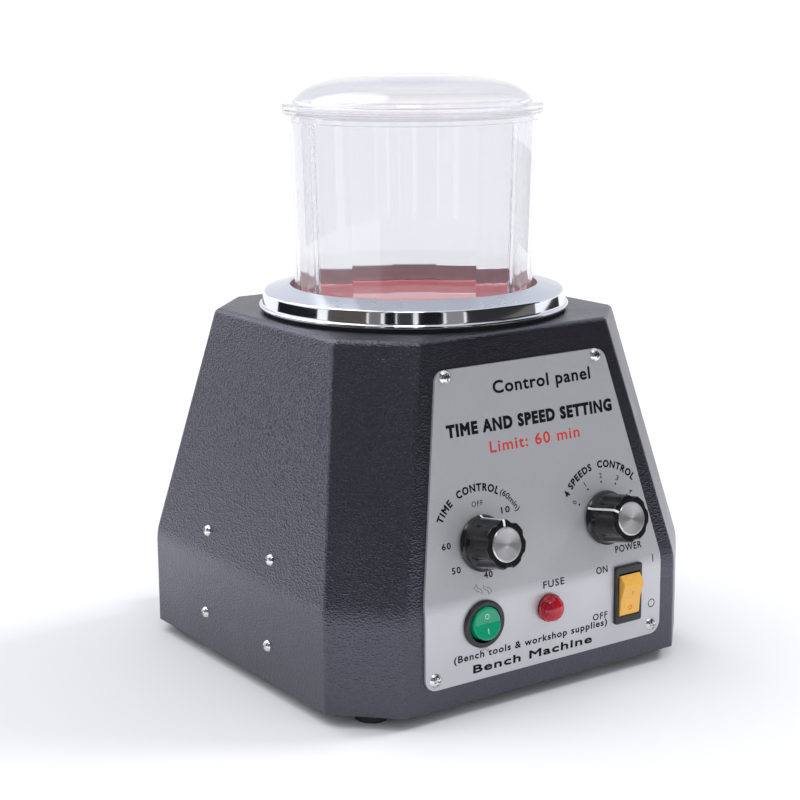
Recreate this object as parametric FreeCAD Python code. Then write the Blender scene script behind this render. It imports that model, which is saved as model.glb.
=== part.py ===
import FreeCAD, Part
import math
import os
from FreeCAD import Placement, Rotation, Vector

# Bench magnetic tumbler. Millimetres, +Z up. The origin is on the floor, on the axis that the
# bowl, the magnet rotor and the motor share. The control panel faces -Y.

# ---- housing
BASE_HALF = 105.0        # half width across the vertical skirt
BASE_CHAMFER = 25.6      # leg of the corner chamfer on the skirt
TOP_HALF = 81.4          # half width at the top edge
TOP_CHAMFER = 27.8
SKIRT_BOTTOM = 6.0
FOLD_Z = 52.5            # where the vertical skirt turns into the sloping sides
BODY_TOP = 168.5
WALL = 3.0
FOLD_RADIUS = 35.0
EDGE_RADIUS = 3.2
TOP_HOLE_RADIUS = 56.0

# ---- bottom plate and feet
PLATE_Z = 7.0
PLATE_T = 2.0
FOOT_POSITION = 82.0
FOOT_RADIUS = 8.6
LUG_OFFSET = 40.0        # along each side, from its middle to a base-plate lug
LUG_INSET = 97.5         # from the axis to a lug's centre
LUG_HEIGHT = 10.0

# ---- ring, seat and bowl
SEAT_RADIUS = 59.6
SEAT_T = 0.8
PAD_T = 1.0
RING_INNER = 60.4
RING_OUTER = 74.4
RING_TOP = 181.2
RING_T = 1.3
BAND_LEAN = 0.7          # the upright band is this much narrower at its top
BEAD_RADIUS = 75.8
GASKET_T = 1.3
STUD_CIRCLE = 67.5
BOWL_GAP = 0.3           # air between parts that lift off and what they rest on
BOWL_BOTTOM = BODY_TOP + SEAT_T + PAD_T + BOWL_GAP
BOWL_FACETS = 18         # flats on the inside; the outside is a plain cone
FACET_PHASE = 5.3        # degrees from +X to the first facet corner
BOWL_RADIUS_LOW = 57.9
BOWL_RADIUS_HIGH = 60.6
FACET_TOP = 259.6
COLLAR_RADIUS = 61.1
RIM_RADIUS = 62.9
RIM_BOTTOM = 262.9
RIM_T = 2.2
BOWL_WALL = 2.0          # at the facet corners, where it is thinnest
BOWL_FLOOR = 3.0
FLOOR_BEVEL = 1.5

# ---- lid
LID_BOTTOM = RIM_BOTTOM + RIM_T + BOWL_GAP
LID_FLANGE_T = 2.2
DOME_BASE = 265.2
DOME_HEIGHT = 15.9
DOME_RADIUS = 59.2
DOME_WALL = 2.0
SPIGOT_OUTER = 57.9
SPIGOT_WALL = 1.8
GRIP_RADIUS = 21.0       # shallow dished circle in the crown
GRIP_DEPTH = 0.5

# ---- rotor and motor
ROTOR_RADIUS = 52.0
SHAFT_RADIUS = 4.0
SHAFT_FIT = 0.04         # radial running clearance
MAGNET_COUNT = 6
MAGNET_RADIUS = 10.0
MAGNET_CIRCLE = 36.0
ROTOR_TOP = 165.0
CARRIER_T = 11.0
DISC_T = 3.0
HUB_RADIUS = 12.0
HUB_LENGTH = 15.0
MOTOR_RADIUS = 36.0
MOTOR_CAN_LOW = 66.0
MOTOR_CAN_HIGH = 122.0
BELL_T = 5.0
CAN_T = 2.5
BEARING_RADIUS = 11.0
BEARING_T = 7.0
MOUNT_PLATE_HALF = 56.0
STANDOFF_POSITION = 45.0
STANDOFF_RADIUS = 4.5
FAN_RADIUS = 28.0
FAN_BLADES = 7

# ---- control panel: u runs to the right, v up the bent sheet from its fold
PANEL_T = 1.2
PANEL_TOP_HALF = 48.7
PANEL_HALF = 69.5
PANEL_LOW_Z = 16.1
PANEL_HIGH_Z = 155.2
PANEL_CORNER = 6.0
TIMER_UV = (-34.7, 25.7)
SPEED_UV = (38.2, 25.2)
DIRECTION_UV = (-37.6, -10.3)
FUSE_UV = (0.0, -10.1)
POWER_UV = (48.1, -12.7)
PANEL_SCREW_UV = [(-43.7, 101.7), (43.7, 101.7), (-64.0, -31.6), (64.0, -31.6)]
SIDE_SCREW_U = 29.5
SIDE_SCREW_V = (12.2, -29.2)

# ---- knobs and switches
KNOB_FLANGE_RADIUS = 12.8
KNOB_GRIP_RADIUS = 11.2
KNOB_FACE = 18.4
KNOB_LIFT = 0.6          # air under the knob's flange
KNOB_CAP_RADIUS = 7.5
KNOB_LOBES = 7
FLUTE_RADIUS = 3.8
FLUTE_DEPTH = 1.3
KNOB_SHAFT = 3.0
BUSHING_RADIUS = 4.6
BEZEL_T = 1.8
POWER_ARC = 12.7         # radius of the rocker's ends about its pivot
POWER_PIVOT = -5.9
POWER_TILT = 12.0
POWER_HALF_WIDTH = 6.1
POWER_HALF_EDGE = 37.6   # degrees from the pivot's normal to each outer edge
DIRECTION_RADIUS = 7.6
DIRECTION_PIVOT = -2.0
DIRECTION_TILT = 9.0

# ---- cable gland at the back
GLAND_X = -55.0
GLAND_Z = 30.0
CABLE_HOLE = 3.6
GLAND_END = 121.0

X, Y, Z = Vector(1, 0, 0), Vector(0, 1, 0), Vector(0, 0, 1)
ORIGIN = Vector(0, 0, 0)
SLOPE = math.degrees(math.atan2(BASE_HALF - TOP_HALF, BODY_TOP - FOLD_Z))
nodes = {}
hex_nuts = []            # every loose steel nut inside the housing


# ---- small builders

def cylinder(radius, low, high, x=0.0, y=0.0):
    return Part.makeCylinder(radius, high - low, Vector(x, y, low))


def tube(outer, inner, low, high, x=0.0, y=0.0):
    return cylinder(outer, low, high, x, y).cut(cylinder(inner, low - 1, high + 1, x, y))


def block(x0, x1, y0, y1, z0, z1):
    return Part.makeBox(x1 - x0, y1 - y0, z1 - z0, Vector(x0, y0, z0))


def prism(points, height_vector):
    wire = Part.makePolygon(points + points[:1])
    return Part.Face(wire).extrude(height_vector)


def hexagon(across_flats, low, high, x=0.0, y=0.0):
    corner = across_flats / math.sqrt(3)
    turns = [math.radians(60 * i) for i in range(6)]
    ring = [Vector(x + corner * math.cos(t), y + corner * math.sin(t), low) for t in turns]
    return prism(ring, Vector(0, 0, high - low))


def spin(profile):
    """Solid of revolution about Z from (radius, height) pairs."""
    points = [Vector(r, 0, z) for r, z in profile]
    return Part.Face(Part.makePolygon(points + points[:1])).revolve(ORIGIN, Z, 360)


def moved(shape, vector):
    copy = shape.copy()
    copy.translate(vector)
    return copy


def turned(shape, angle, axis=Z, centre=ORIGIN):
    copy = shape.copy()
    copy.rotate(centre, axis, angle)
    return copy


def around(shape, count, start=0.0):
    return [turned(shape, start + 360.0 * i / count) for i in range(count)]


def cut_all(shape, tools):
    for tool in tools:
        shape = shape.cut(tool)
    return shape


def fuse_all(shapes):
    result = shapes[0].multiFuse(shapes[1:]) if len(shapes) > 1 else shapes[0]
    return result.removeSplitter()


def fillet_edges(shape, radius, wanted):
    edges = [edge for edge in shape.Edges if wanted(edge)]
    return shape.makeFillet(radius, edges)


def group(shapes):
    """Separate solids that share one node."""
    solids = [solid for shape in shapes for solid in shape.Solids]
    return Part.makeCompound(solids)


def corners(position):
    return [(sx * position, sy * position) for sx in (-1, 1) for sy in (-1, 1)]


def on_face(shape, u, v, lift=0.0, quarter=0):
    """Place a shape on a side of the housing, local Z outwards and local Y up.

    u is measured to the right and v up the folded side from the fold, both on the sheet.
    quarter turns the front side about Z: -1 is the left side.
    """
    slope = math.radians(SLOPE) if v > 0 else 0.0
    normal = Vector(0, -math.cos(slope), math.sin(slope))
    up = Vector(0, math.sin(slope), math.cos(slope))
    place = Vector(u, -BASE_HALF, FOLD_Z) + up * v + normal * lift
    tilt = Rotation(X, 90 - math.degrees(slope))
    around_z = Placement(ORIGIN, Rotation(Z, 90 * quarter))
    copy = shape.copy()
    copy.Placement = around_z.multiply(Placement(place, tilt)).multiply(copy.Placement)
    return copy


def on_panel(shape, uv):
    return on_face(shape, uv[0], uv[1], PANEL_T)


# ---- housing

def folded_outline(inset, low, high):
    """Slab between two opposite folded sides, in X and Z, moved inwards by inset."""
    return folded_section(BASE_HALF - inset, math.radians(SLOPE), inset, low, high)


def folded_section(half, slope, inset, low, high):
    shift = inset * math.tan(slope / 2)
    fold = FOLD_Z - shift
    tangent = (FOLD_RADIUS - inset) * math.tan(slope / 2)
    top_half = half - (high - fold) * math.tan(slope)
    lean = Vector(-math.sin(slope), 0, math.cos(slope))
    corner = Vector(half, 0, fold)
    below = corner - Z * tangent
    above = corner + lean * tangent
    radius = FOLD_RADIUS - inset
    centre = Vector(half - radius, 0, fold - tangent)
    middle = centre + Vector(math.cos(slope / 2), 0, math.sin(slope / 2)) * radius
    flip = lambda p: Vector(-p.x, 0, p.z)
    foot, head = Vector(half, 0, low), Vector(top_half, 0, high)
    edges = [
        Part.LineSegment(foot, below).toShape(),
        Part.Arc(below, middle, above).toShape(),
        Part.LineSegment(above, head).toShape(),
        Part.LineSegment(head, flip(head)).toShape(),
        Part.LineSegment(flip(head), flip(above)).toShape(),
        Part.Arc(flip(above), flip(middle), flip(below)).toShape(),
        Part.LineSegment(flip(below), flip(foot)).toShape(),
        Part.LineSegment(flip(foot), foot).toShape(),
    ]
    face = Part.Face(Part.Wire(edges))
    reach = 2 * BASE_HALF
    return moved(face.extrude(Y * (2 * reach)), -Y * reach)


def chamfer_half(half, chamfer):
    return (2 * half - chamfer) / math.sqrt(2)


def housing_body(inset, low, high):
    """Square body with chamfered corners; every side folds inwards at FOLD_Z."""
    square = folded_outline(inset, low, high)
    low_diagonal = chamfer_half(BASE_HALF, BASE_CHAMFER)
    high_diagonal = chamfer_half(TOP_HALF, TOP_CHAMFER)
    slope = math.atan2(low_diagonal - high_diagonal, BODY_TOP - FOLD_Z)
    diagonal = folded_section(low_diagonal - inset, slope, inset, low, high)
    body = square.common(turned(square, 90))
    body = body.common(turned(diagonal, 45)).common(turned(diagonal, 135))
    return body


def upright(edge):
    low, high = edge.BoundBox.ZMin, edge.BoundBox.ZMax
    return high - low > 1.0 and edge.Length < 2.0 * (high - low)


def at_top(edge):
    return edge.BoundBox.ZMin > BODY_TOP - 0.01


def lug_places():
    for quarter in range(4):
        for side in (-1, 1):
            place = turned(Part.Vertex(side * LUG_OFFSET, -LUG_INSET, 0), 90 * quarter).Point
            yield place.x, place.y


def base_screw(x, y):
    low = PLATE_Z - 2.2
    head = spin([(0, low), (2.8, low), (3.6, low + 0.9), (3.6, PLATE_Z), (0, PLATE_Z)])
    screw = head.fuse(cylinder(2.0, PLATE_Z, PLATE_Z + 9.0))
    slot = block(-0.5, 0.5, -1.9, 1.9, low - 1, low + 1.0)
    return moved(screw.cut(slot.fuse(turned(slot, 90))), Vector(x, y, 0))


def top_screw(x, y):
    """Countersunk screw through the top wall into a standoff."""
    head = Part.makeCone(1.8, 3.6, 1.8, Vector(x, y, BODY_TOP - 1.8))
    return head.fuse(cylinder(1.8, BODY_TOP - 12.0, BODY_TOP - 1.8, x, y))


def build_housing():
    outer = housing_body(0.0, SKIRT_BOTTOM, BODY_TOP)
    outer = fillet_edges(outer, EDGE_RADIUS, lambda e: upright(e) or at_top(e))
    inner = housing_body(WALL, SKIRT_BOTTOM - 1, BODY_TOP - WALL)
    shell = outer.cut(inner).cut(cylinder(TOP_HOLE_RADIUS, BODY_TOP - 10, BODY_TOP + 10))
    lug_low = PLATE_Z + PLATE_T
    lugs = [cylinder(6.0, lug_low, lug_low + LUG_HEIGHT, x, y) for x, y in lug_places()]
    shell = fuse_all([shell] + lugs)
    screws = [base_screw(x, y) for x, y in lug_places()]
    top_screws = [top_screw(x, y) for x, y in corners(STANDOFF_POSITION)]
    shell = cut_all(shell, screws + top_screws)
    stud_hole = cylinder(2.1, BODY_TOP - 10, BODY_TOP + 2, STUD_CIRCLE)
    shell = cut_all(shell, around(stud_hole, 4))
    gland_hole = Part.makeCylinder(6.2, 20, Vector(GLAND_X, BASE_HALF - 10, GLAND_Z), Y)
    nodes["housing_shell"] = shell.cut(gland_hole)


def build_base():
    low, high = PLATE_Z, PLATE_Z + PLATE_T
    plate = housing_body(WALL + 0.4, low, BODY_TOP).common(cylinder(300, low, high))
    screws = [base_screw(x, y) for x, y in lug_places()]
    plate = cut_all(plate, screws)
    feet, nuts = [], []
    for x, y in corners(FOOT_POSITION):
        foot = spin([(0, 0), (FOOT_RADIUS - 1.4, 0), (FOOT_RADIUS - 0.6, 0.8),
                     (FOOT_RADIUS, PLATE_Z), (0, PLATE_Z)])
        foot = moved(foot, Vector(x, y, 0)).cut(cylinder(4.4, -1, 3.4, x, y))
        head = fillet_edges(cylinder(3.6, 1.4, 3.4, x, y), 0.8,
                            lambda e: e.BoundBox.ZMax < 1.5)
        screw = head.fuse(cylinder(2.0, 3.4, high + 5.0, x, y))
        nut = hexagon(7.0, high, high + 3.2, x, y).cut(screw)
        feet.append(foot.cut(screw))
        screws.append(screw)
        nuts.append(nut)
        plate = plate.cut(screw)
    for row in range(-4, 5):
        half = 30 - 1.1 * row * row
        slot = block(-half, half, row * 7 - 1.6, row * 7 + 1.6, low - 1, high + 1)
        plate = plate.cut(fillet_edges(slot, 1.5, upright))
    posts = [tube(3.2, 1.5, high, high + 8, x, y) for x, y in board_corners()]
    nodes["base_plate"] = plate
    nodes["rubber_feet"] = group(feet)
    nodes["bottom_screws"] = group(screws)
    hex_nuts.extend(nuts)
    nodes["board_standoffs"] = group(posts)


# ---- top ring, seat and bowl

def build_ring():
    gasket_top = BODY_TOP + GASKET_T
    edge = RING_TOP - 2.9
    lean = RING_OUTER - BAND_LEAN
    profile = [
        (RING_INNER, gasket_top), (RING_INNER, RING_TOP - 0.8), (RING_INNER + 0.8, RING_TOP),
        (lean - 1.2, edge + 0.45), (lean - 0.35, edge), (lean, edge - 0.9),
        (RING_OUTER, gasket_top + 2.2), (BEAD_RADIUS - 0.5, gasket_top + 2.0),
        (BEAD_RADIUS, gasket_top + 1.4), (BEAD_RADIUS, gasket_top + 0.6),
        (BEAD_RADIUS - 0.5, gasket_top), (RING_OUTER - RING_T, gasket_top),
        (lean - RING_T, edge - 1.3), (RING_INNER + RING_T, RING_TOP - RING_T),
        (RING_INNER + RING_T, gasket_top),
    ]
    ring = spin(profile)
    stud = cylinder(2.0, BODY_TOP - 9, RING_TOP - 2.2, STUD_CIRCLE).cut(ring)
    stud = max(stud.Solids, key=lambda s: s.Volume)
    studs = around(stud, 4)
    nut = hexagon(7.0, BODY_TOP - WALL - 3.2, BODY_TOP - WALL, STUD_CIRCLE)
    gasket = tube(RING_OUTER - 0.6, RING_INNER, BODY_TOP, gasket_top)
    nodes["chrome_ring"] = ring
    nodes["ring_studs"] = group(studs)
    hex_nuts.extend(cut_all(n, studs) for n in around(nut, 4))
    nodes["ring_gasket"] = cut_all(gasket, around(cylinder(2.0, 0, 300, STUD_CIRCLE), 4))
    nodes["seat_plate"] = cylinder(SEAT_RADIUS, BODY_TOP, BODY_TOP + SEAT_T)
    pad_low = BODY_TOP + SEAT_T
    nodes["red_seat_pad"] = cylinder(SEAT_RADIUS - 0.4, pad_low, pad_low + PAD_T)


def facet_wire(corner_radius, z):
    turns = [math.radians(FACET_PHASE + 360.0 * i / BOWL_FACETS) for i in range(BOWL_FACETS)]
    points = [Vector(corner_radius * math.cos(t), corner_radius * math.sin(t), z) for t in turns]
    return Part.makePolygon(points + points[:1])


def build_bowl():
    rim_top = RIM_BOTTOM + RIM_T
    floor_top = BOWL_BOTTOM + BOWL_FLOOR
    outside = spin([(0, BOWL_BOTTOM), (BOWL_RADIUS_LOW - 0.8, BOWL_BOTTOM),
                    (BOWL_RADIUS_LOW, BOWL_BOTTOM + 0.8), (BOWL_RADIUS_HIGH, FACET_TOP),
                    (COLLAR_RADIUS, FACET_TOP), (COLLAR_RADIUS, RIM_BOTTOM),
                    (RIM_RADIUS - 0.4, RIM_BOTTOM), (RIM_RADIUS, RIM_BOTTOM + 0.4),
                    (RIM_RADIUS, rim_top - 0.4), (RIM_RADIUS - 0.4, rim_top), (0, rim_top)])
    low, high = BOWL_RADIUS_LOW - BOWL_WALL, BOWL_RADIUS_HIGH - BOWL_WALL
    sections = [facet_wire(low - FLOOR_BEVEL, floor_top),
                facet_wire(low, floor_top + FLOOR_BEVEL), facet_wire(high, FACET_TOP)]
    facets = Part.makeLoft(sections, True, True)
    mouth = cylinder(high, FACET_TOP, rim_top + 1)
    nodes["bowl"] = outside.cut(facets).cut(mouth).removeSplitter()


def dome_curve(radius, height, low):
    """Half outline of the dome: a superellipse, from the flange up to the crown."""
    power, root = 3.6, 1.0 / 1.85
    start = 1 - ((low - DOME_BASE) / height) ** (1 / root)
    reach = radius * start ** (1 / power)
    points = []
    for i in range(15):
        share = math.cos(math.pi / 2 * i / 14)
        r = reach * share
        points.append(Vector(r, 0, DOME_BASE + height * (1 - (r / radius) ** power) ** root))
    curve = Part.BSplineCurve()
    curve.interpolate(points)
    return curve.toShape(), points[0], points[-1]


def dome_solid(radius, height, low):
    outline, foot, crown = dome_curve(radius, height, low)
    centre = Vector(0, 0, low)
    edges = [outline, Part.LineSegment(crown, centre).toShape(),
             Part.LineSegment(centre, foot).toShape()]
    return Part.Face(Part.Wire(edges)).revolve(ORIGIN, Z, 360)


def build_lid():
    flange_top = LID_BOTTOM + LID_FLANGE_T
    flange = spin([(0, LID_BOTTOM), (RIM_RADIUS - 0.4, LID_BOTTOM),
                   (RIM_RADIUS, LID_BOTTOM + 0.4), (RIM_RADIUS, flange_top - 0.5),
                   (RIM_RADIUS - 0.5, flange_top), (0, flange_top)])
    outer = dome_solid(DOME_RADIUS, DOME_HEIGHT, flange_top)
    spigot = cylinder(SPIGOT_OUTER, LID_BOTTOM - 3.6, LID_BOTTOM)
    inner_radius = SPIGOT_OUTER - SPIGOT_WALL
    mouth = cylinder(inner_radius, LID_BOTTOM - 5, LID_BOTTOM + 1.0)
    hollow = dome_solid(DOME_RADIUS - DOME_WALL, DOME_HEIGHT - DOME_WALL, LID_BOTTOM + 1.0)
    hollow = hollow.common(cylinder(inner_radius, LID_BOTTOM, LID_BOTTOM + 30))
    top = DOME_BASE + DOME_HEIGHT
    grip = Part.makeCone(GRIP_RADIUS - 1.5, GRIP_RADIUS + 1.5, 2 * GRIP_DEPTH,
                         Vector(0, 0, top - GRIP_DEPTH))
    lid = fuse_all([flange, outer, spigot]).cut(mouth).cut(hollow).cut(grip)
    nodes["lid"] = lid.removeSplitter()


# ---- rotor

def build_rotor():
    carrier_low = ROTOR_TOP - CARRIER_T
    disc_low = carrier_low - DISC_T
    hub_low = disc_low - HUB_LENGTH
    magnet_low = ROTOR_TOP - 8.0
    shaft_low = MOTOR_CAN_LOW - 26.0
    shaft = cylinder(SHAFT_RADIUS, shaft_low, carrier_low)
    magnet = cylinder(MAGNET_RADIUS, magnet_low, ROTOR_TOP, MAGNET_CIRCLE)
    magnets = around(magnet, MAGNET_COUNT)
    carrier = cylinder(ROTOR_RADIUS, carrier_low, ROTOR_TOP)
    lightening = around(cylinder(5.0, carrier_low - 1, ROTOR_TOP + 1, 17.0), 6, 30.0)
    bolt_low = disc_low - 2.0
    bolt = cylinder(3.0, bolt_low, disc_low, 44.0).fuse(cylinder(1.5, disc_low, 161.0, 44.0))
    bolts = around(bolt, 6, 30.0)
    disc = cylinder(ROTOR_RADIUS, disc_low, carrier_low).cut(shaft)
    hub = cylinder(HUB_RADIUS, hub_low, disc_low).fuse(
        cylinder(HUB_RADIUS + 6.0, disc_low - 3.0, disc_low)).cut(shaft)
    screw_z = hub_low + 5.0
    set_screw = Part.makeCylinder(2.0, 7.5, Vector(SHAFT_RADIUS, 0, screw_z), X)
    screw_hole = Part.makeCylinder(2.0, HUB_RADIUS, Vector(SHAFT_RADIUS - 1, 0, screw_z), X)
    nodes["magnets"] = group(magnets)
    nodes["magnet_carrier"] = cut_all(carrier, magnets + lightening + bolts)
    nodes["rotor_disc"] = cut_all(disc, bolts)
    nodes["rotor_screws"] = group(bolts + [set_screw])
    nodes["rotor_hub"] = hub.cut(screw_hole)
    nodes["motor_shaft"] = shaft
    build_armature(shaft)
    build_fan(shaft, shaft_low)


def build_armature(shaft):
    core = cylinder(26.5, 88.0, 112.0)
    slot = block(20.0, 30.0, -1.2, 1.2, 80.0, 120.0).fuse(cylinder(3.2, 80.0, 120.0, 20.0))
    core = cut_all(core, around(slot, 12)).cut(shaft)
    turns = []
    for low, high in ((81.0, 88.0), (112.0, 117.5)):
        turns.append(fillet_edges(tube(24.0, 10.5, low, high), 2.5,
                                  lambda e: e.Length > 100).cut(shaft))
    bars = cylinder(9.0, 68.0, 80.0)
    gap = block(7.6, 10.0, -0.3, 0.3, 67.0, 78.0)
    commutator = cut_all(bars, around(gap, 12)).cut(shaft)
    nodes["armature_core"] = core
    nodes["armature_windings"] = group(turns)
    nodes["commutator"] = commutator


def build_fan(shaft, shaft_low):
    hub_high = shaft_low + 12.0
    hub = cylinder(8.0, shaft_low + 2.0, hub_high)
    blade = block(6.0, FAN_RADIUS, -0.8, 0.8, shaft_low + 3.0, hub_high - 1.0)
    blade = turned(blade, 24.0, X, Vector(0, 0, shaft_low + 7.0))
    fan = fuse_all([hub] + around(blade, FAN_BLADES))
    nodes["cooling_fan"] = fan.cut(shaft)


# ---- motor stator, bearings and hangers

def build_motor():
    shaft_hole = cylinder(SHAFT_RADIUS + 1.0, 0, 200)
    can_low, can_high = MOTOR_CAN_LOW, MOTOR_CAN_HIGH
    can = tube(MOTOR_RADIUS, MOTOR_RADIUS - CAN_T, can_low, can_high)
    top_bell = cylinder(MOTOR_RADIUS, can_high, can_high + BELL_T)
    top_bell = top_bell.fuse(cylinder(14.0, can_high - 2.0, can_high + BELL_T + 3.0))
    upper_low = can_high + BELL_T + 3.0 - BEARING_T
    top_bell = top_bell.cut(cylinder(BEARING_RADIUS, upper_low, 200)).cut(shaft_hole)
    low_bell = cylinder(MOTOR_RADIUS, can_low - BELL_T, can_low)
    low_bell = low_bell.fuse(cylinder(14.0, can_low - BELL_T - 4.0, can_low))
    lower_low = can_low - BEARING_T
    low_bell = low_bell.cut(cylinder(BEARING_RADIUS, lower_low, can_low + 5)).cut(shaft_hole)
    bolts = []
    for side in (-1, 1):
        y = side * 29.5
        head = cylinder(3.4, can_low - BELL_T - 2.4, can_low - BELL_T, 0, y)
        bolts.append(head.fuse(cylinder(1.9, can_low - BELL_T, can_high + BELL_T, 0, y)))
    vent = block(22.0, 30.0, -3.0, 3.0, can_low - 10, can_low + 2)
    vents = around(fillet_edges(vent, 2.0, upright), 8, 22.5)
    arc = tube(MOTOR_RADIUS - CAN_T, 27.8, 84.0, 116.0)
    keep = block(0, 40, -15, 15, 80, 120)
    shoes = [arc.common(keep), arc.common(turned(keep, 180))]
    nodes["motor_can"] = can
    nodes["motor_top_bell"] = cut_all(top_bell, bolts).removeSplitter()
    nodes["motor_bottom_bell"] = cut_all(low_bell, bolts + vents).removeSplitter()
    nodes["field_magnets"] = group(shoes)
    bore = SHAFT_RADIUS + SHAFT_FIT
    bearings = []
    for low in (upper_low, lower_low):
        bearing = tube(BEARING_RADIUS, bore, low, low + BEARING_T)
        for face in (low, low + BEARING_T - 0.4):
            bearing = bearing.cut(tube(9.2, 5.6, face, face + 0.4))
        bearings.append(bearing)
    nodes["shaft_bearings"] = group(bearings)
    build_brushes()
    return bolts


def build_brushes():
    brush = block(9.3, 17.0, -2.5, 2.5, 70.0, 75.0)
    spring = tube(2.0, 1.3, 17.0, 24.0)
    spring = moved(turned(moved(spring, Vector(0, 0, -17.0)), 90, Y), Vector(17.0, 0, 72.5))
    holder = block(11.0, 24.8, -4.0, 4.0, 66.0, 77.0).cut(block(8.0, 24.0, -2.5, 2.5, 70.0, 75.0))
    nodes["carbon_brushes"] = group(around(brush, 2))
    nodes["brush_holders"] = group(around(holder, 2) + around(spring, 2))


def build_hangers(motor_bolts):
    low = MOTOR_CAN_HIGH + BELL_T
    high = low + 3.0
    ceiling = BODY_TOP - WALL
    half = MOUNT_PLATE_HALF
    plate = fillet_edges(block(-half, half, -half, half, low, high), 10.0, upright)
    plate = plate.cut(cylinder(14.0, low - 1, high + 1))
    rods, screws = [], []
    for x, y in corners(STANDOFF_POSITION):
        head = fillet_edges(cylinder(3.6, low - 2.4, low, x, y), 0.8,
                            lambda e: e.BoundBox.ZMax < low - 2.3)
        screw = head.fuse(cylinder(1.8, low, high + 8.0, x, y))
        rod = cylinder(STANDOFF_RADIUS, high, ceiling, x, y)
        rods.append(rod.cut(screw).cut(top_screw(x, y)))
        screws.append(screw)
    motor_screw = cylinder(3.4, high, high + 2.4, 28.0).fuse(cylinder(1.8, low - 4.0, high, 28.0))
    motor_screws = around(motor_screw, 4, 45.0)
    nodes["motor_plate"] = cut_all(plate, screws + motor_screws)
    nodes["motor_standoffs"] = group(rods)
    top_screws = [top_screw(x, y) for x, y in corners(STANDOFF_POSITION)]
    nodes["motor_mount_screws"] = group(screws + top_screws + motor_screws + motor_bolts)
    nodes["motor_top_bell"] = cut_all(nodes["motor_top_bell"], motor_screws)


# ---- control panel and what is fixed through it

def cross_recess(width, length, depth, top):
    bar = block(-length / 2, length / 2, -width / 2, width / 2, top - depth, top + 1)
    return bar.fuse(turned(bar, 90))


def domed_screw(head_radius, height, shank, length):
    sphere_radius = (head_radius ** 2 + height ** 2) / (2 * height)
    ball = Part.makeSphere(sphere_radius, Vector(0, 0, height - sphere_radius))
    head = ball.common(cylinder(head_radius, 0, height + 1))
    screw = head.fuse(cylinder(shank, -length, 0))
    return screw.cut(cross_recess(0.9, head_radius * 1.15, 0.9, height)).removeSplitter()


def panel_sheet():
    outer = folded_outline(-PANEL_T, PANEL_LOW_Z, PANEL_HIGH_Z)
    inner = folded_outline(0.0, PANEL_LOW_Z - 1, PANEL_HIGH_Z + 1)
    sheet = turned(outer.cut(inner), 90).common(block(-200, 200, -200, 0, 0, 300))
    steps = [(-PANEL_HALF, PANEL_LOW_Z), (PANEL_HALF, PANEL_LOW_Z), (PANEL_HALF, FOLD_Z + 3),
             (PANEL_TOP_HALF, PANEL_HIGH_Z), (-PANEL_TOP_HALF, PANEL_HIGH_Z),
             (-PANEL_HALF, FOLD_Z + 3)]
    outline = prism([Vector(x, -150, z) for x, z in steps], Vector(0, 150, 0))
    outline = fillet_edges(outline, PANEL_CORNER,
                           lambda e: abs(e.BoundBox.YLength - 150) < 0.1
                           and abs(e.BoundBox.ZMin - FOLD_Z - 3) > 1)
    return sheet.common(outline)


def fluted_knob():
    """Knob standing on its flange at z = KNOB_LIFT, pointer towards +Y."""
    low = KNOB_LIFT
    flange_top = low + 3.0
    flange = spin([(0, low), (KNOB_FLANGE_RADIUS, low), (KNOB_FLANGE_RADIUS, low + 0.9),
                   (KNOB_GRIP_RADIUS + 0.5, flange_top), (0, flange_top)])
    grip = Part.makeCone(KNOB_GRIP_RADIUS + 0.3, KNOB_GRIP_RADIUS - 0.2, KNOB_FACE - flange_top,
                         Vector(0, 0, flange_top))
    grip = fillet_edges(grip, 0.8, lambda e: e.BoundBox.ZMin > KNOB_FACE - 0.1)
    flute = cylinder(FLUTE_RADIUS, flange_top, KNOB_FACE + 5, 0,
                     KNOB_GRIP_RADIUS + FLUTE_RADIUS - FLUTE_DEPTH)
    grip = cut_all(grip, around(flute, KNOB_LOBES, 180.0 / KNOB_LOBES))
    knob = flange.fuse(grip)
    knob = knob.cut(cylinder(8.4, low - 1, low + 2.9))
    knob = knob.cut(cylinder(KNOB_SHAFT, low, KNOB_FACE - 4.0))
    return knob.cut(cylinder(KNOB_CAP_RADIUS, KNOB_FACE - 1.2, KNOB_FACE + 1))


def knob_cap():
    cap = cylinder(KNOB_CAP_RADIUS, KNOB_FACE - 1.2, KNOB_FACE + 0.5)
    return fillet_edges(cap, 0.45, lambda e: e.BoundBox.ZMin > KNOB_FACE + 0.4)


def build_rotary(name, uv, body, clock):
    """A control with a bushing through the panel, its shaft, knob and metal cap."""
    shaft_hole = cylinder(KNOB_SHAFT + SHAFT_FIT, -30, 20)
    behind = -PANEL_T - WALL
    bushing = cylinder(BUSHING_RADIUS, behind - 0.5, 2.4)
    body = body.fuse(bushing).cut(shaft_hole).removeSplitter()
    shaft = cylinder(KNOB_SHAFT, -24.0, KNOB_FACE - 4.0)
    knob = turned(fluted_knob(), clock)
    nodes[name + "_body"] = on_panel(body, uv)
    nodes[name + "_shaft"] = on_panel(shaft, uv)
    nodes[name + "_knob"] = on_panel(knob, uv)
    nodes[name + "_knob_cap"] = on_panel(knob_cap(), uv)


def timer_case():
    back = -PANEL_T - WALL - 0.5
    case = fillet_edges(block(-20, 20, -17, 17, back - 27, back), 2.0, upright)
    return case.fuse(block(-24, 24, -6, 6, back - 1.5, back))


def speed_switch_case():
    back = -PANEL_T - WALL - 0.5
    case = cylinder(14.0, back - 9, back).fuse(cylinder(6.0, back - 20, back))
    wafer = cylinder(13.0, back - 17, back - 14)
    tags = around(block(12.5, 17.0, -1.0, 1.0, back - 16, back - 15.2), 10)
    return fuse_all([case, wafer] + tags)


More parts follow.
